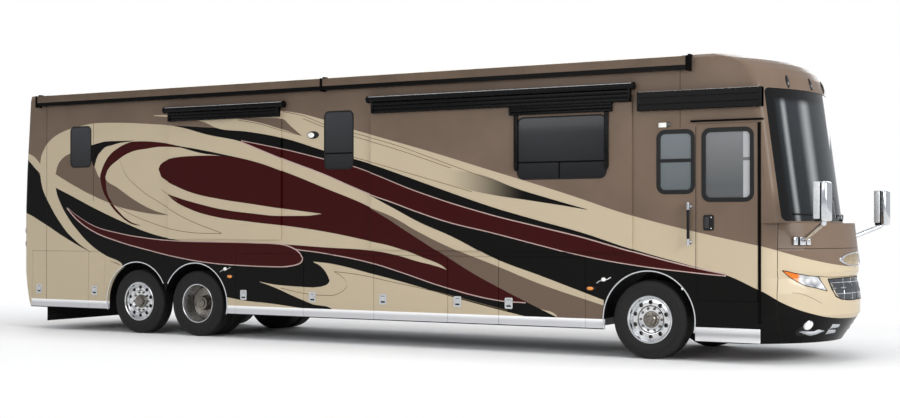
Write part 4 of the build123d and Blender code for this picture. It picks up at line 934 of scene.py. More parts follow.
flushWindows = [
    # body, side, distance of the skin from the middle, x, z
    ("coach", kerb, 1.28, (-5.666, -5.221), (2.658, 3.311)),
    ("coach", kerb, 1.28, (-0.598, -0.098), (2.530, 3.360)),
    ("coach", driver, 1.28, (-5.666, -4.566), (2.530, 3.311)),
    ("coach", driver, 1.28, (-3.500, -2.700), (2.530, 3.311)),
    ("room_right_front", kerb, 1.307, (2.58, 3.88), (2.33, 3.15)),
    ("room_left", driver, 1.307, (0.30, 2.10), (2.33, 3.15)),
]
framedWindows = [
    ("coach", kerb, 1.28, (4.577, 5.071), (2.118, 2.914)),
    ("coach", driver, 1.28, (4.950, 5.830), (2.030, 2.919)),
    ("entry_door", kerb, 1.28, (5.179, 5.835), (2.015, 2.919)),
]
windowSizes = {"corner": 0.075, "wideCorner": 0.095, "frameCorner": 0.085, "seal": 0.020, "frame": 0.055,
               "proud": 0.006, "bar": 0.020, "middleBar": 0.022, "paneDepth": 0.006, "inset": 0.006, "grow": 0.012,
              # heights and place of the bars, as shares of the window
              "barAt": 0.27, "uprightAt": 0.48, "middleAt": 0.52}


def addWindows():
    for i, (body, side, skin, x, z) in enumerate(flushWindows, 1):
        wide = x[1] - x[0] > 1
        corner = windowSizes["wideCorner"] if wide else windowSizes["corner"]
        bm = bmesh.new()
        inset = windowSizes["inset"]
        addFrameRing(bm, side, skin - 0.006, skin + 0.003, x, z, corner, windowSizes["seal"])
        addPiece(f"windowSeal_{i}", bm, look["sealRubber"], body)
        bm = bmesh.new()
        addPlate(bm, side, skin - windowSizes["paneDepth"], skin + 0.001, (x[0] + inset, x[1] - inset),
                 (z[0] + inset, z[1] - inset), corner - inset)
        addPiece(f"windowPane_{i}", bm, glass["darkGlass"], body)
        if i == 1:
            continue
        bars = bmesh.new()
        low = z[0] + (z[1] - z[0]) * windowSizes["barAt"]
        inner, outer, half = side * (skin - 0.004), side * (skin + 0.004), windowSizes["bar"] / 2
        addBox(bars, (x[0] + 0.01, inner, low - half), (x[1] - 0.01, outer, low + half))
        if wide:
            middle = x[0] + (x[1] - x[0]) * windowSizes["uprightAt"]
            addBox(bars, (middle - half, inner, z[0] + 0.01), (middle + half, outer, low))
        addPiece(f"windowBars_{i}", bars, look["gapShadow"], body)
    for i, (body, side, skin, x, z) in enumerate(framedWindows, 1):
        bm = bmesh.new()
        out = skin + windowSizes["proud"]
        width, grow = windowSizes["frame"], windowSizes["grow"]
        addFrameRing(bm, side, skin - 0.012, out, (x[0] - grow + width / 2, x[1] + grow - width / 2),
                     (z[0] - grow + width / 2, z[1] + grow - width / 2), windowSizes["frameCorner"], width)
        if body == "coach":
            middle = z[0] + (z[1] - z[0]) * windowSizes["middleAt"]
            addBox(bm, (x[0] + 0.03, side * (skin - 0.012), middle - windowSizes["middleBar"]),
                   (x[1] - 0.03, side * (out - 0.001), middle + windowSizes["middleBar"]))
            pane = bmesh.new()
            addPlate(pane, side, skin - 0.010, skin - 0.004, (x[0] + 0.01, x[1] - 0.01), (z[0] + 0.01, z[1] - 0.01),
                     windowSizes["frameCorner"] - 0.02)
            addPiece(f"cabPane_{i}", pane, glass["cabGlass"], body)
        addPiece(f"windowFrame_{i}", bm, look["blackTrim"], body, bevel=0.004)


addWindows()
print("windows made")


# Lamps, latches and other small pieces of the sides

latch = {
    "width": 0.118, "height": 0.150, "z": 0.66, "fromRear": 0.155, "thick": 0.007, "rim": 0.016,
    # inset, heights over the latch's foot, reach, corner and slot of the paddle and of two dark lines
    "plates": ((0.028, 0.056, 0.110, 0.009, 0.008, 0), (0.026, 0.026, 0.050, 0.006, 0.006, 2),
               (0.030, 0.116, 0.124, 0.006, 0.003, 2)),
}
bayEdges = {
    kerb: [(-6.535, -5.271), (-5.271, -4.921), (-2.245, -0.972), (-0.972, 0.259), (0.259, 1.481), (1.481, 2.280),
           (2.280, 3.571)],
    driver: [(-6.535, -5.271), (-2.245, -0.791), (-0.791, 0.663), (0.663, 2.117), (2.117, 3.571)],
}


def addLatches():
    for side, doors in bayEdges.items():
        for number, (rear, front) in enumerate(doors, 1):
            x = rear + min(latch["fromRear"], (front - rear) * 0.38)
            half, face, out = latch["width"] / 2, halfWidth, halfWidth + latch["thick"]
            low, high = latch["z"] - latch["height"] / 2, latch["z"] + latch["height"] / 2
            rim = latch["rim"]
            bm = bmesh.new()
            addPlate(bm, side, face - 0.002, face + 0.003, (x - half, x + half), (low, high), 0.014, slot=1)
            addFrameRing(bm, side, face - 0.002, out, (x - half + rim / 2, x + half - rim / 2),
                         (low + rim / 2, high - rim / 2), 0.012, rim)
            for inset, foot, head, reach, corner, slot in latch["plates"]:
                addPlate(bm, side, face + 0.002, face + reach, (x - half + inset, x + half - inset),
                         (low + foot, low + head), corner, slot=slot)
            metals = [look["platePlain"], look["polishedAlloy"], look["blackTrim"]]
            addPiece(f"latch_{words[side]}_{number}", bm, metals, f"bay_door_{words[side]}_{number}", bevel=0.0015)


sideLamps = [
    # kind, x, z, half length, half height
    ("docking", 3.832, 1.008, 0.034, 0.026),
    ("marker", 3.640, 0.887, 0.048, 0.024),
    ("docking", -2.440, 1.046, 0.034, 0.026),
    ("marker", -2.352, 0.933, 0.048, 0.024),
]
dockingLip = [(-0.100, -0.048), (-0.060, -0.020), (0.0, -0.012), (0.060, 0.006), (0.105, 0.030)]
porchLamp = {"x": (4.600, 4.758), "z": (2.956, 3.018), "split": 0.68, "deep": 0.026}
ovalLamp = {"x": -0.807, "z": 3.033, "long": 0.108, "tall": 0.056, "shift": -0.026}


def addDome(bm, place, sizes, slot, way=None, steps=28):
    # a flattened ball on the skin, whose third size is along way
    turn = way.to_track_quat("Z", "Y").to_matrix().to_4x4() if way else Matrix()
    made = bmesh.ops.create_uvsphere(bm, u_segments=steps, v_segments=steps // 2, radius=1.0,
                                     matrix=Matrix.Translation(place) @ turn @ Matrix.Diagonal((*sizes, 1)))
    paintFaces(made["verts"], slot)


def addSideLamps():
    for side in (kerb, driver):
        for i, (kind, x, z, long, tall) in enumerate(sideLamps, 1):
            bm = bmesh.new()
            addDome(bm, (x, side * halfWidth, z), (long * 1.5, 0.012, tall * 1.4), 0)
            addDome(bm, (x, side * (halfWidth + 0.005), z), (long, 0.015, tall), 1)
            if kind == "docking":  # a bright lip that sweeps across the lamp
                face = side * (halfWidth + 0.004)
                for (x1, z1), (x2, z2) in zip(dockingLip, dockingLip[1:]):
                    addRod(bm, (x + x1, face, z + z1), (x + x2, face, z + z2), 0.006, steps=10, slot=2)
            lens = look["whiteLamp"] if kind == "docking" else look["amberLens"]
            addPiece(f"{kind}Lamp_{words[side]}_{i}", bm, [look["blackTrim"], lens, look["chrome"]], "coach",
                     merge=False)
    x, z, out = porchLamp["x"], porchLamp["z"], -halfWidth - porchLamp["deep"]
    split = x[0] + (x[1] - x[0]) * porchLamp["split"]
    bm = bmesh.new()
    addSoftBox(bm, (x[0], -halfWidth + 0.002, z[0]), (split, out, z[1]), 0.010)
    addSoftBox(bm, (split, -halfWidth + 0.002, z[0]), (x[1], out, z[1]), 0.010, slot=1)
    addPiece("porchLamp", bm, [look["whiteLamp"], look["smokedLens"]], "coach", merge=False)
    bm = bmesh.new()
    x, z, long, tall = (ovalLamp[key] for key in ("x", "z", "long", "tall"))
    addDome(bm, (x, -halfWidth, z), (long, 0.016, tall), 0)
    addDome(bm, (x + ovalLamp["shift"], -halfWidth - 0.006, z - 0.002), (long * 0.62, 0.018, tall * 0.72), 1)
    addPiece("ovalLamp", bm, [look["blackTrim"], look["whiteLamp"]], "coach", merge=False)


grab = {"x": 5.012, "y": -1.34, "z": (1.46, 1.99), "sleeve": 0.082, "tube": 0.019, "ribs": 9, "ribPitch": 0.038}
entryTrim = {
    # x and z of each
    "lock": ((5.194, 5.329), (1.648, 1.842)), "paddle": ((5.214, 5.272), (1.675, 1.815)),
    "dripRail": ((5.030, 5.970), (3.008, 3.032)),
    "step": ((5.085, 5.925), (0.262, 0.437)), "stepLine": (0.344, 0.352),
    "studX": 5.298, "studZ": (1.675, 1.812),
    "hingeFrom": 0.005, "hingeTo": 0.042, "hingeZ": (0.50, 2.98),  # x from the door's front edge
}


def addKerbBox(bm, x, z, inside, outside):
    # a box on the skin of the kerb side
    addBox(bm, (x[0], -halfWidth + inside, z[0]), (x[1], -halfWidth - outside, z[1]))


def addEntryTrim():
    face = halfWidth
    bm = bmesh.new()
    addPlate(bm, kerb, face - 0.002, face + 0.012, *entryTrim["lock"], 0.022)
    addPlate(bm, kerb, face + 0.011, face + 0.022, *entryTrim["paddle"], 0.012, slot=1)
    x = entryTrim["studX"]
    for z in entryTrim["studZ"]:
        addRod(bm, (x, -face - 0.010, z), (x, -face - 0.019, z), 0.010, slot=2)
    addPiece("doorLock", bm, [look["blackTrim"], look["blackPaint"], look["chrome"]], "entry_door", bevel=0.002)
    bm = bmesh.new()
    addKerbBox(bm, *entryTrim["dripRail"], 0.002, 0.026)
    addPiece("dripRail", bm, look["gapShadow"], "coach", bevel=0.003)
    bm = bmesh.new()
    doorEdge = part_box("entry_door")[1][0]
    addKerbBox(bm, (doorEdge + entryTrim["hingeFrom"], doorEdge + entryTrim["hingeTo"]), entryTrim["hingeZ"],
               0.002, 0.006)
    addPiece("doorHingeCover", bm, look["gapShadow"], "coach", bevel=0.002)
    bm = bmesh.new()
    x, z = entryTrim["step"]
    addSoftBox(bm, (x[0], -face - 0.002, z[0]), (x[1], -face - 0.016, z[1]), 0.006)
    addKerbBox(bm, x, entryTrim["stepLine"], -0.012, 0.018)
    addPiece("stepStrip", bm, look["stepMetal"], "coach")
    bm = bmesh.new()
    x, y, (low, high) = grab["x"], grab["y"], grab["z"]
    for start, end in ((low, low + grab["sleeve"]), (high - grab["sleeve"], high)):
        addRod(bm, (x, y, start), (x, y, end), 0.021, steps=28)
        addRod(bm, (x, y, (start + end) / 2), (x, -face, (start + end) / 2), 0.017, steps=24)
        addRod(bm, (x, -face - 0.008, (start + end) / 2), (x, -face + 0.002, (start + end) / 2), 0.034, steps=28)
    addDome(bm, (x, y, low), (0.021, 0.021, 0.014), 0)
    addDome(bm, (x, y, high), (0.021, 0.021, 0.014), 0)
    addRod(bm, (x, y, low + grab["sleeve"]), (x, y, high - grab["sleeve"]), grab["tube"], steps=28, slot=1)
    for i in range(grab["ribs"]):
        z = low + grab["sleeve"] + 0.03 + i * grab["ribPitch"]
        addRod(bm, (x, y, z), (x, y, z + 0.014), grab["tube"] + 0.0015, steps=28, slot=1)
    addPiece("grabHandle", bm, [look["chrome"], look["sealRubber"]], "coach", merge=False)


addLatches()
addSideLamps()
addEntryTrim()
print("side pieces made")


# Awnings: rolls with end caps on ribbed fascias

awnings = {
    "awning_right_front": {"body": "room_right_front", "side": kerb, "roll": (0.205, 4.285), "fascia": (0.285, 4.222),
                           "drop": 0.122},
    "awning_right_rear": {"body": "room_right_rear", "side": kerb, "roll": (-3.590, -1.285),
                          "fascia": (-3.495, -1.392), "drop": 0.100},
    "awning_left": {"body": "room_left", "side": driver, "roll": (-1.960, 4.100), "fascia": (-1.870, 4.020),
                    "drop": 0.115},
}
awningSizes = {"skin": 1.307, "top": 3.42, "roll": 0.046, "cap": 0.062, "depth": 0.078, "ribs": 3}
windowAwning = {"x": (2.475, 3.975), "z": (3.185, 3.300), "guides": (2.565, 3.888), "guideLow": 2.44,
                # share of the height, and reach, of each rib
                "ribs": ((0.0, 0.062), (0.36, 0.068), (0.70, 0.060)), "ribTall": 0.038}
caseBracket = {"x": (-6.339, -0.586, 5.021), "half": 0.022, "z": (3.655, 3.845), "deep": 0.116,
               "topHalf": 0.018, "topZ": (3.80, 3.868), "topDeep": 0.05}
entryAwning = {"x": (4.35, 5.96), "ribs": ((3.175, 3.245, 0.094), (3.252, 3.330, 0.096), (3.337, 3.405, 0.094)),
               "ends": (4.335, 5.94), "endWide": 0.03, "endZ": (3.168, 3.412), "endDeep": 0.1,
               "edge": (4.36, 5.95), "highlightOut": 0.08, "highlightZ": 3.409}


def addAwning(node, place):
    side, (start, end), top = place["side"], place["roll"], awningSizes["top"]
    skin, roll, deep = awningSizes["skin"], awningSizes["roll"], awningSizes["depth"]
    bm = bmesh.new()
    low, high = top - place["drop"], top + 0.036
    step = (high - low) / awningSizes["ribs"]
    for i in range(awningSizes["ribs"]):  # ribs that stand a little further out towards the top
        out = skin + deep * (0.80 + 0.08 * i)
        addSoftBox(bm, (place["fascia"][0], side * (skin - 0.001), low + i * step + 0.002),
                   (place["fascia"][1], side * out, low + (i + 1) * step - 0.002), 0.012)
    addBox(bm, (place["fascia"][0] + 0.004, side * (skin - 0.001), low + 0.004),
           (place["fascia"][1] - 0.004, side * (skin + deep * 0.66), high))
    middle = (side * (skin + roll + 0.001), top + 0.08)
    addRod(bm, (start, *middle), (end, *middle), roll, steps=48)
    # painted highlight: a light rod where light glints along the top of the roll
    crest = (side * (skin + roll * 1.72), top + 0.08 + roll * 0.72)
    addRod(bm, (start + 0.02, *crest), (end - 0.02, *crest), 0.004, steps=12, slot=1)  # a painted highlight: a light rod along the cloth's upper front edge
    for x, way in ((start, -1), (end, 1)):
        addRod(bm, (x - way * 0.020, *middle), (x + way * 0.008, *middle), roll + 0.006, steps=40)
        addRod(bm, (x + way * 0.006, *middle), (x + way * 0.020, *middle), roll * 0.55, roll * 0.45, steps=32)
        arm = place["fascia"][0] if way < 0 else place["fascia"][1]
        addSoftBox(bm, (arm - 0.014, side * (skin - 0.001), low), (arm + 0.014, side * (skin + deep), top + 0.07),
                   0.006)
    if node == "awning_right_front":
        x, z = windowAwning["x"], windowAwning["z"]
        for share, reach in windowAwning["ribs"]:
            base = z[0] + (z[1] - z[0]) * share
            addSoftBox(bm, (x[0], side * (skin - 0.001), base),
                       (x[1], side * (skin + reach), base + windowAwning["ribTall"]), 0.010)
        for middleX in windowAwning["guides"]:
            addSoftBox(bm, (middleX - 0.028, -skin + 0.001, windowAwning["guideLow"] + 0.03),
                       (middleX + 0.028, -skin - 0.032, z[0] + 0.01), 0.006)
            addSoftBox(bm, (middleX - 0.016, -skin + 0.001, windowAwning["guideLow"]),
                       (middleX + 0.016, -skin - 0.038, windowAwning["guideLow"] + 0.10), 0.006)
    piece = addPiece(f"topper_{words[side]}_{place['body'][-5:].strip('_')}", bm,
                     [look["awningCloth"], look["platePlain"]], place["body"], merge=False)
    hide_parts(node)


for node, place in awnings.items():
    addAwning(node, place)


def addCaseBrackets():
    half, topHalf = caseBracket["half"], caseBracket["topHalf"]
    for i, x in enumerate(caseBracket["x"], 1):
        bm = bmesh.new()
        addKerbBox(bm, (x - half, x + half), caseBracket["z"], 0.001, caseBracket["deep"])
        addKerbBox(bm, (x - topHalf, x + topHalf), caseBracket["topZ"], 0.04, caseBracket["topDeep"])
        addPiece(f"caseBracket_{i}", bm, look["gapShadow"], "coach", bevel=0.004)
    bm = bmesh.new()
    for low, high, deep in entryAwning["ribs"]:
        addKerbBox(bm, entryAwning["x"], (low, high), 0, deep)
    for x in entryAwning["ends"]:
        addKerbBox(bm, (x, x + entryAwning["endWide"]), entryAwning["endZ"], 0, entryAwning["endDeep"])
    # painted highlight: a light rod along the top front edge of the entry awning
    start, end = ((x, -halfWidth - entryAwning["highlightOut"], entryAwning["highlightZ"]) for x in entryAwning["edge"])
    addRod(bm, start, end, 0.004, steps=10, slot=1)
    addPiece("entryAwningRibs", bm, [look["awningCloth"], look["platePlain"]], "coach", bevel=0.005)


addCaseBrackets()
print("awnings made")


# Pieces that lie on the nose: their places are (s, z) as on the painted bands, cast onto the CAD's own faces

def nodeTree(name):
    mesh = cadNodes[name].data
    return BVHTree.FromPolygons([vert.co for vert in mesh.vertices], [list(face.vertices) for face in mesh.polygons])


frontTrees = [nodeTree(name) for name in ("front_nose", "front_cap", "lamps", "grille", "glazing")]


def castFront(y, z):
    # the foremost point at this y and z, and the way it faces
    for step in (0, 0.014, -0.014, 0.028, -0.028):  # past a gap between two grille bars
        hits = [tree.ray_cast(Vector((9, y, z + step)), Vector((-1, 0, 0))) for tree in frontTrees]
        hits = [hit for hit in hits if hit[0] is not None and hit[0].x > 5.5]
        if hits:
            break
    place, way = max(hits, key=lambda hit: hit[0].x)[:2]
    place.z = z
    return place, way if way.x > 0 else -way


def noseAt(s, z, side):
    near, far = 0.0, halfWidth - 0.002
    for _ in range(24):
        reach = (near + far) / 2
        if castFront(side * reach, z)[0].x + halfWidth - reach > s:
            near = reach
        else:
            far = reach
    return castFront(side * reach, z)


def pointAlong(points, share):
    # the place at this share of a line of (s, z) points
    step = share * (len(points) - 1)
    i = min(int(step), len(points) - 2)
    return tuple(a + (b - a) * (step - i) for a, b in zip(points[i], points[i + 1]))


rodParts = 4  # rods from one point of a line to the next


def layRods(bm, lines, radius, slot=0):
    # thin rods along lines of (s, z) points
    for line in lines:
        for side in (kerb, driver):
            count = (len(line) - 1) * rodParts
            places = [noseAt(*pointAlong(line, i / count), side)[0] for i in range(count + 1)]
            for first, second in zip(places, places[1:]):
                addRod(bm, first, second, radius, steps=10, slot=slot)


def layPatch(bm, low, high, crown, slot=0, lift=0.002, cells=(16, 4)):
    # a patch between two lines of (s, z) points that swells by crown along its middle
    for side in (kerb, driver):
        made = bmesh.ops.create_grid(bm, x_segments=cells[0], y_segments=cells[1], size=0.5)
        for vert in made["verts"]:
            u, v = vert.co.x + 0.5, vert.co.y + 0.5
            lowPoint, highPoint = pointAlong(low, min(max(u, 0), 1)), pointAlong(high, min(max(u, 0), 1))
            s = lowPoint[0] + (highPoint[0] - lowPoint[0]) * v
            z = lowPoint[1] + (highPoint[1] - lowPoint[1]) * v
            place, way = noseAt(s, z, side)
            vert.co = place + way * (lift + crown * math.sin(math.pi * min(max(v, 0), 1)))
        paintFaces(made["verts"], slot)


boss = {"half": 0.45, "tall": 0.090, "z": 1.283, "rim": 0.84,
        "rings": ((1.0, -0.002), (0.985, 0.012), (0.93, 0.017), (0.86, 0.013), (0.84, 0.006), (0.6, 0.010),
                  (0.3, 0.012), (0.0, 0.013))}
grilleLines = {
    "rimRadius": 0.007, "barRadius": 0.0055,
    "high": [(7.22, 1.045), (7.40, 1.047), (7.57, 1.05), (7.73, 1.052), (7.88, 1.055), (8.03, 1.055)],
    "low": [(7.22, 1.043), (7.28, 0.92), (7.37, 0.83), (7.54, 0.785), (7.79, 0.775), (8.03, 0.775)],
    "bars": [[(7.26, 0.995), (7.60, 1.00), (8.03, 1.00)], [(7.30, 0.93), (7.60, 0.93), (8.03, 0.93)],
             [(7.35, 0.86), (7.65, 0.86), (8.03, 0.86)], [(7.62, 1.045), (7.62, 0.93), (7.60, 0.785)],
             [(7.88, 1.05), (7.88, 0.93), (7.87, 0.78)]],
}
fog = {"centre": (6.81, 0.475), "radius": 0.060,
       # share of the radius, depth and slot of the rim and the lamp
       "domes": ((1.18, 0.012, 0), (1.0, 0.026, 1)),
       "low": [(6.64, 0.40), (6.73, 0.37), (6.92, 0.34), (7.04, 0.35), (7.20, 0.40)],
       "high": [(6.64, 0.405), (6.79, 0.405), (6.97, 0.40), (7.07, 0.42), (7.20, 0.405)]}
roofLamps = {"y": (-0.27, 0.27, -0.80, 0.80), "z": 3.51, "base": (0.034, 0.085, 0.016),
             "lens": (0.024, 0.070, 0.022)}
slots = [([(7.33, 0.42), (7.57, 0.43)], [(7.37, 0.48), (7.59, 0.47)]),
         ([(7.27, 0.35), (7.53, 0.36)], [(7.31, 0.41), (7.53, 0.40)])]


def addNosePieces():
    bm = bmesh.new()
    line = [*lampOutline["upper"], *reversed(lampOutline["lower"][:-1])]
    layRods(bm, [line], lampOutline["seal"])
    addPiece("headlampSeals", bm, look["sealRubber"], "coach", merge=False)
    bm = bmesh.new()
    layRods(bm, [grilleLines["high"], grilleLines["low"]], grilleLines["rimRadius"])
    layRods(bm, grilleLines["bars"], grilleLines["barRadius"], slot=1)
    layPatch(bm, grilleLines["low"], grilleLines["high"], 0.001, slot=2, cells=(24, 6))
    addPiece("grilleBars", bm, [look["sealRubber"], look["chrome"], look["grilleMesh"]], "coach", merge=False)
    bm = bmesh.new()
    layPatch(bm, fog["low"], fog["high"], 0.016)
    for low, high in slots:
        layPatch(bm, low, high, 0.004, cells=(6, 3))
    for side in (kerb, driver):
        place, way = noseAt(*fog["centre"], side)
        for share, deep, slot in fog["domes"]:
            size = fog["radius"] * share
            addDome(bm, place, (size, size, deep), slot, way, steps=32)
    addPiece("fogLamps", bm, [look["chrome"], look["whiteLamp"]], "coach", merge=False)
    bm = bmesh.new()
    spinLine(bm, [(radius, 0, rise) for radius, rise in boss["rings"]], (0, 0, 1), 72)
    bmesh.ops.remove_doubles(bm, verts=bm.verts, dist=1e-5)
    for face in bm.faces:
        face.material_index = 0 if face.calc_center_median().xy.length > boss["rim"] - 0.01 else 1
    for vert in bm.verts:
        place, way = castFront(vert.co.x * boss["half"], boss["z"] + vert.co.y * boss["tall"])
        vert.co = place + way * vert.co.z
    addPiece("noseBoss", bm, [look["chrome"], look["champagneBoss"]], "coach", merge=False)
    bm = bmesh.new()
    for y in roofLamps["y"]:
        place, way = castFront(y, roofLamps["z"])
        addDome(bm, place, roofLamps["base"], 0, way, steps=24)
        addDome(bm, place, roofLamps["lens"], 1, way, steps=24)
    addPiece("clearanceLamps", bm, [look["blackTrim"], look["smokedLens"]], "coach", merge=False)


wipers = {
    # start and end as (y, z), and radius
    "blade": ((0.12, 1.835), (1.00, 1.850), 0.009), "arm": ((0.30, 1.772), (0.58, 1.840), 0.012),
    "lift": 0.018, "steps": 8,
}


def addWipers():
    bm = bmesh.new()
    for side in (kerb, driver):
        for start, end, radius in (wipers["blade"], wipers["arm"]):
            places = []
            for i in range(wipers["steps"] + 1):
                y, z = pointAlong((start, end), i / wipers["steps"])
                place, way = castFront(side * y, z)
                places.append(place + way * wipers["lift"])
            for first, second in zip(places, places[1:]):
                addRod(bm, first, second, radius, steps=10)
        y, z = wipers["arm"][0]
        place, way = castFront(side * y, z)
        addRod(bm, place - way * 0.01, place + way * 0.026, 0.018, 0.014, steps=24)
    addPiece("wipers", bm, look["blackTrim"], "coach", merge=False)


mirrorShape = {
    "x": 6.722, "y": 1.45, "z": 1.995, "deep": 0.13, "wide": 0.25, "tall": 0.48, "tube": 0.031, "seam": 0.020,
    "arm": ((6.347, 0.99, 1.52), (6.437, 1.08, 1.56), (6.730, 1.375, 1.735), (6.752, 1.400, 1.785)),
    # how much lower the driver's mirror hangs, and the height over which its arm drops
    "driverDrop": 0.045, "dropOver": 0.26,
    "clamp": (6.635, 1.52),
    # middle, half length, reach and slot of each part of the clamp
    "clampParts": ((-0.092, 0.030, 0.040, 0), (-0.052, 0.011, 0.034, 1), (0.0, 0.040, 0.060, 0),
                   (0.050, 0.010, 0.034, 1), (0.088, 0.030, 0.040, 0)),
    "clampHalf": 0.050,
}


def addMirrors():
    x, y, middleZ = (mirrorShape[key] for key in ("x", "y", "z"))
    halfDeep, halfWide, halfTall = (mirrorShape[key] / 2 for key in ("deep", "wide", "tall"))
    seam = x + mirrorShape["seam"]
    bm = bmesh.new()
    armFoot, half = mirrorShape["arm"][0][2], mirrorShape["clampHalf"]
    for side in (kerb, driver):
        z = middleZ - (mirrorShape["driverDrop"] if side == driver else 0)
        inner, outer = side * (y - halfWide), side * (y + halfWide)
        step = side * 0.001
        addSoftBox(bm, (seam + 0.004, inner, z - halfTall), (seam + 0.085, outer, z + halfTall), 0.034, segments=5)
        addSoftBox(bm, (seam - 0.006, inner + 12 * step, z - halfTall + 0.012),
                   (seam + 0.012, outer - 12 * step, z + halfTall - 0.012), 0.006, slot=1)
        addSoftBox(bm, (x - halfDeep, inner + 4 * step, z - halfTall + 0.034),
                   (seam - 0.004, outer - 4 * step, z + halfTall - 0.004), 0.016, slot=2, segments=4)
        addSoftBox(bm, (x - halfDeep - 0.001, inner + 24 * step, z - halfTall + 0.054),
                   (x - halfDeep + 0.006, outer - 24 * step, z + halfTall - 0.024), 0.002, slot=3)
        addSoftBox(bm, (x - halfDeep + 0.006, inner + 30 * step, z - halfTall + 0.004),
                   (seam - 0.004, outer - 30 * step, z - halfTall + 0.040), 0.006, slot=1)
        places = [Vector((px, side * py, pz - (middleZ - z) * (pz - armFoot) / mirrorShape["dropOver"]))
                  for px, py, pz in mirrorShape["arm"]]
        for first, second in zip(places, places[1:]):
            addRod(bm, first, second, mirrorShape["tube"], steps=28)
        for place in places[1:]:
            addDome(bm, place, [mirrorShape["tube"] * 1.08] * 3, 0)
        place, way = noseAt(*mirrorShape["clamp"], side)
        up = Vector((0, 0, 1))
        across = way.cross(up).normalized()
        turn = Matrix((across, up, across.cross(up))).transposed().to_4x4()
        out = turn.col[2].xyz.dot(way)
        for middle, long, reach, slot in mirrorShape["clampParts"]:
            low, high = sorted((-0.012 * out, reach * out))
            verts = addSoftBox(bm, (middle - long, -half, low), (middle + long, half, high), 0.008, slot=slot)
            bmesh.ops.transform(bm, matrix=Matrix.Translation(place) @ turn, verts=verts)
    metals = [look["chrome"], look["blackTrim"], look["platePlain"], look["mirrorGlass"]]
    piece = addPiece("chromeMirrors", bm, metals, "coach", merge=False)
    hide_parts("mirrors")


# Cab seats: pads filled with air, on frames with pedestals

seatPlaces = [(5.25, 0.64), (4.70, -0.52)]
seatShape = {
    "deck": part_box("seats")[0][2],
    # (from, to) along x, y and z of each pad and frame part, from the seat's middle and the deck
    "cushion": ((-0.230, 0.265), (-0.235, 0.235), (0.320, 0.442)),
    "back": ((-0.362, -0.262), (-0.225, 0.225), (0.480, 0.930)),
    "headrest": ((-0.355, -0.268), (-0.150, 0.150), (0.975, 1.120)),
    "pan": ((-0.20, 0.23), (-0.17, 0.17), (0.25, 0.305)),
    "shell": ((-0.378, -0.350), (-0.20, 0.20), (0.29, 0.90)),
    # heights, lower and upper radius of the pedestal's two parts
    "pedestal": ((0.001, 0.03, 0.148, 0.140), (0.03, 0.25, 0.085, 0.075)),
    "posts": (-0.07, 0.07), "postX": -0.312, "postZ": (0.90, 1.0),
    "channels": (-0.135, -0.045, 0.045, 0.135), "channelDeep": 0.012, "channelWide": 0.013,
    "voxel": 0.016, "pressure": 4, "steps": 20, "cap": 0.018,
}


def puffPads(mesh):
    # fills the pads with air, as far as their covers let it go
    pads = addObject("pads", mesh)
    remesh = pads.modifiers.new("remesh", "REMESH")
    remesh.mode = "VOXEL"
    remesh.voxel_size = seatShape["voxel"]
    start = evaluated(pads)
    pads.modifiers.clear()
    pads.data = start
    cloth = pads.modifiers.new("air", "CLOTH")
    cloth.settings.use_pressure = True
    cloth.settings.uniform_pressure_force = seatShape["pressure"]
    cloth.settings.effector_weights.gravity = 0
    cloth.settings.quality = 4
    for step in range(1, seatShape["steps"] + 1):
        bpy.context.scene.frame_set(step)
    blown = evaluated(pads)
    for old, new in zip(start.vertices, blown.vertices):
        move = new.co - old.co
        old.co = old.co + move * min(1, seatShape["cap"] / max(move.length, 1e-6))
    bpy.context.scene.frame_set(1)
    bpy.data.meshes.remove(blown)
    bpy.data.objects.remove(pads)
    return start


def addSeatBox(bm, foot, part, rounding):
    low, high = zip(*seatShape[part])
    addSoftBox(bm, foot + Vector(low), foot + Vector(high), rounding)


def addSeats():
    bm = bmesh.new()
    feet = [Vector((x, y, seatShape["deck"])) for x, y in seatPlaces]
    for foot in feet:
        for pad in ("cushion", "back", "headrest"):
            addSeatBox(bm, foot, pad, 0.035)
    mesh = toMesh(bm, "seatPads")
    bm = bmesh.new()
    bm.from_mesh(puffPads(mesh))
    bm.normal_update()
    normals = [vert.normal.copy() for vert in bm.verts]
    for vert, normal in zip(bm.verts, normals):
        x, y = min(seatPlaces, key=lambda place: abs(vert.co.y - place[1]))
        across = vert.co.y - y
        sewn = sum(math.exp(-((across - line) / seatShape["channelWide"]) ** 2) for line in seatShape["channels"])
        front = max(normal.x, 0) if vert.co.x < x - 0.24 else max(normal.z, 0)
        vert.co -= normal * seatShape["channelDeep"] * sewn * front
    pads = addPiece("seatPads", bm, look["seatLeather"], "coach", sharp=180, merge=False)
    rounder = pads.modifiers.new("rounder", "SUBSURF")
    rounder.levels = rounder.render_levels = 1
    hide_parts("seats")
    bm = bmesh.new()
    for foot in feet:
        for low, high, wide, narrow in seatShape["pedestal"]:
            addRod(bm, foot + Vector((0, 0, low)), foot + Vector((0, 0, high)), wide, narrow, steps=40)
        addSeatBox(bm, foot, "pan", 0.012)
        addSeatBox(bm, foot, "shell", 0.012)
        for across in seatShape["posts"]:
            start, end = (foot + Vector((seatShape["postX"], across, z)) for z in seatShape["postZ"])
            addRod(bm, start, end, 0.008, steps=16)
    addPiece("seatFrames", bm, look["dashPlastic"], "coach")


addSeats()
print("seats made")
addNosePieces()
addWipers()
addMirrors()
print("nose pieces and mirrors made")


# Stage and light

stageSizes = {"floor": 120, "fadeFrom": 3.2, "fadeTo": 8.0, "lengthwise": 0.42, "floorColour": "EFEFEE"}


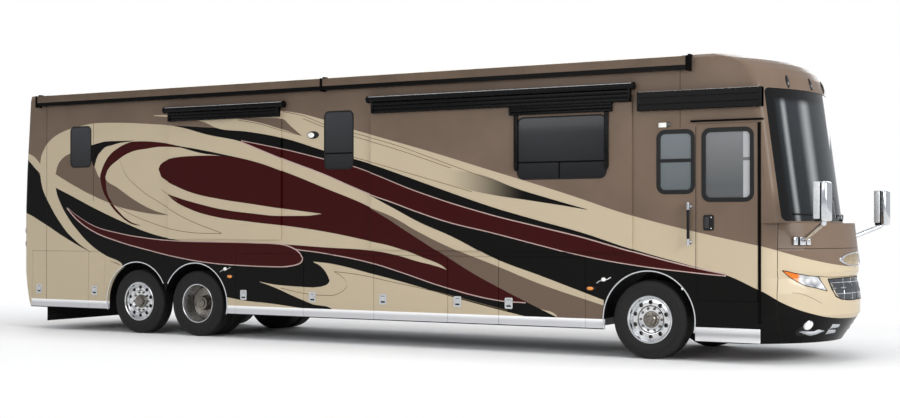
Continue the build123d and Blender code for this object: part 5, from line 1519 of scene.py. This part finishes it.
def addStage():
    bm = bmesh.new()
    bmesh.ops.create_grid(bm, x_segments=1, y_segments=1, size=stageSizes["floor"])
    floor = addObject("studioFloor", toMesh(bm, "studioFloor"))
    graph = Graph("studioFloor")
    squeezed = graph.add("ShaderNodeVectorMath", operation="MULTIPLY")
    graph.links.new(graph.place, squeezed.inputs[0])
    squeezed.inputs[1].default_value = (stageSizes["lengthwise"], 1, 1)
    distance = graph.add("ShaderNodeVectorMath", operation="LENGTH")
    graph.links.new(squeezed.outputs[0], distance.inputs[0])
    fade = graph.span(distance.outputs["Value"], stageSizes["fadeFrom"], stageSizes["fadeTo"], smooth=True)
    path = graph.add("ShaderNodeLightPath")
    seen = graph.math("MAXIMUM", path.outputs["Is Camera Ray"], path.outputs["Is Glossy Ray"])
    seen = graph.math("MAXIMUM", seen, path.outputs["Is Transmission Ray"])
    white = graph.add("ShaderNodeEmission")
    mixed = graph.add("ShaderNodeMixShader")
    graph.links.new(graph.math("MULTIPLY", seen, fade), mixed.inputs[0])
    graph.links.new(graph.shader.outputs[0], mixed.inputs[1])
    graph.links.new(white.outputs[0], mixed.inputs[2])
    graph.links.new(mixed.outputs[0], graph.nodes["Material Output"].inputs["Surface"])
    graph.finish(shade(stageSizes["floorColour"]), 0.9)
    floor.data.materials.append(graph.material)


sky = {"colour": (0.93, 0.95, 1.0, 1), "strength": 0.62}


def addWorld():
    world = bpy.data.worlds.new("studio")
    bpy.context.scene.world = world
    world.use_nodes = True
    nodes, links = world.node_tree.nodes, world.node_tree.links
    soft = nodes["Background"]
    soft.inputs["Color"].default_value = sky["colour"]
    soft.inputs["Strength"].default_value = sky["strength"]
    white = nodes.new("ShaderNodeBackground")
    white.inputs["Color"].default_value = (1, 1, 1, 1)
    white.inputs["Strength"].default_value = 1.0
    path = nodes.new("ShaderNodeLightPath")
    mixed = nodes.new("ShaderNodeMixShader")
    seen = nodes.new("ShaderNodeMath")
    seen.operation = "MAXIMUM"
    links.new(path.outputs["Is Camera Ray"], seen.inputs[0])
    links.new(path.outputs["Is Transmission Ray"], seen.inputs[1])
    links.new(seen.outputs[0], mixed.inputs[0])
    links.new(soft.outputs[0], mixed.inputs[1])
    links.new(white.outputs[0], mixed.inputs[2])
    links.new(mixed.outputs[0], nodes["World Output"].inputs["Surface"])


panels = {
    # place, what it faces, width, height, watts
    "overheadPanel": ((0, -1, 11), (0, 0, 0), 16, 6, 900),
    "sidePanel": ((1, -15, 6.5), (0, 0, 1.6), 14, 5, 440),
    "frontPanel": ((16, -5, 5.0), (6.0, 0, 1.7), 6, 5, 980),
    "rearPanel": ((-15, 6, 6), (-5, 0, 1.8), 6, 5, 260),
    "farSidePanel": ((0, 15, 6.5), (0, 0, 1.6), 14, 5, 380),
}


def addLights():
    for name, (place, target, width, height, watts) in panels.items():
        data = bpy.data.lights.new(name, "AREA")
        data.shape = "RECTANGLE"
        data.size = width
        data.size_y = height
        data.energy = watts
        light = addObject(name, data)
        light.location = place
        light.rotation_euler = (Vector(target) - Vector(place)).to_track_quat("-Z", "Y").to_euler()


addCamera()
addStage()
addWorld()
addLights()
bpy.context.scene.view_settings.view_transform = "Standard"
print("camera, stage and light made")
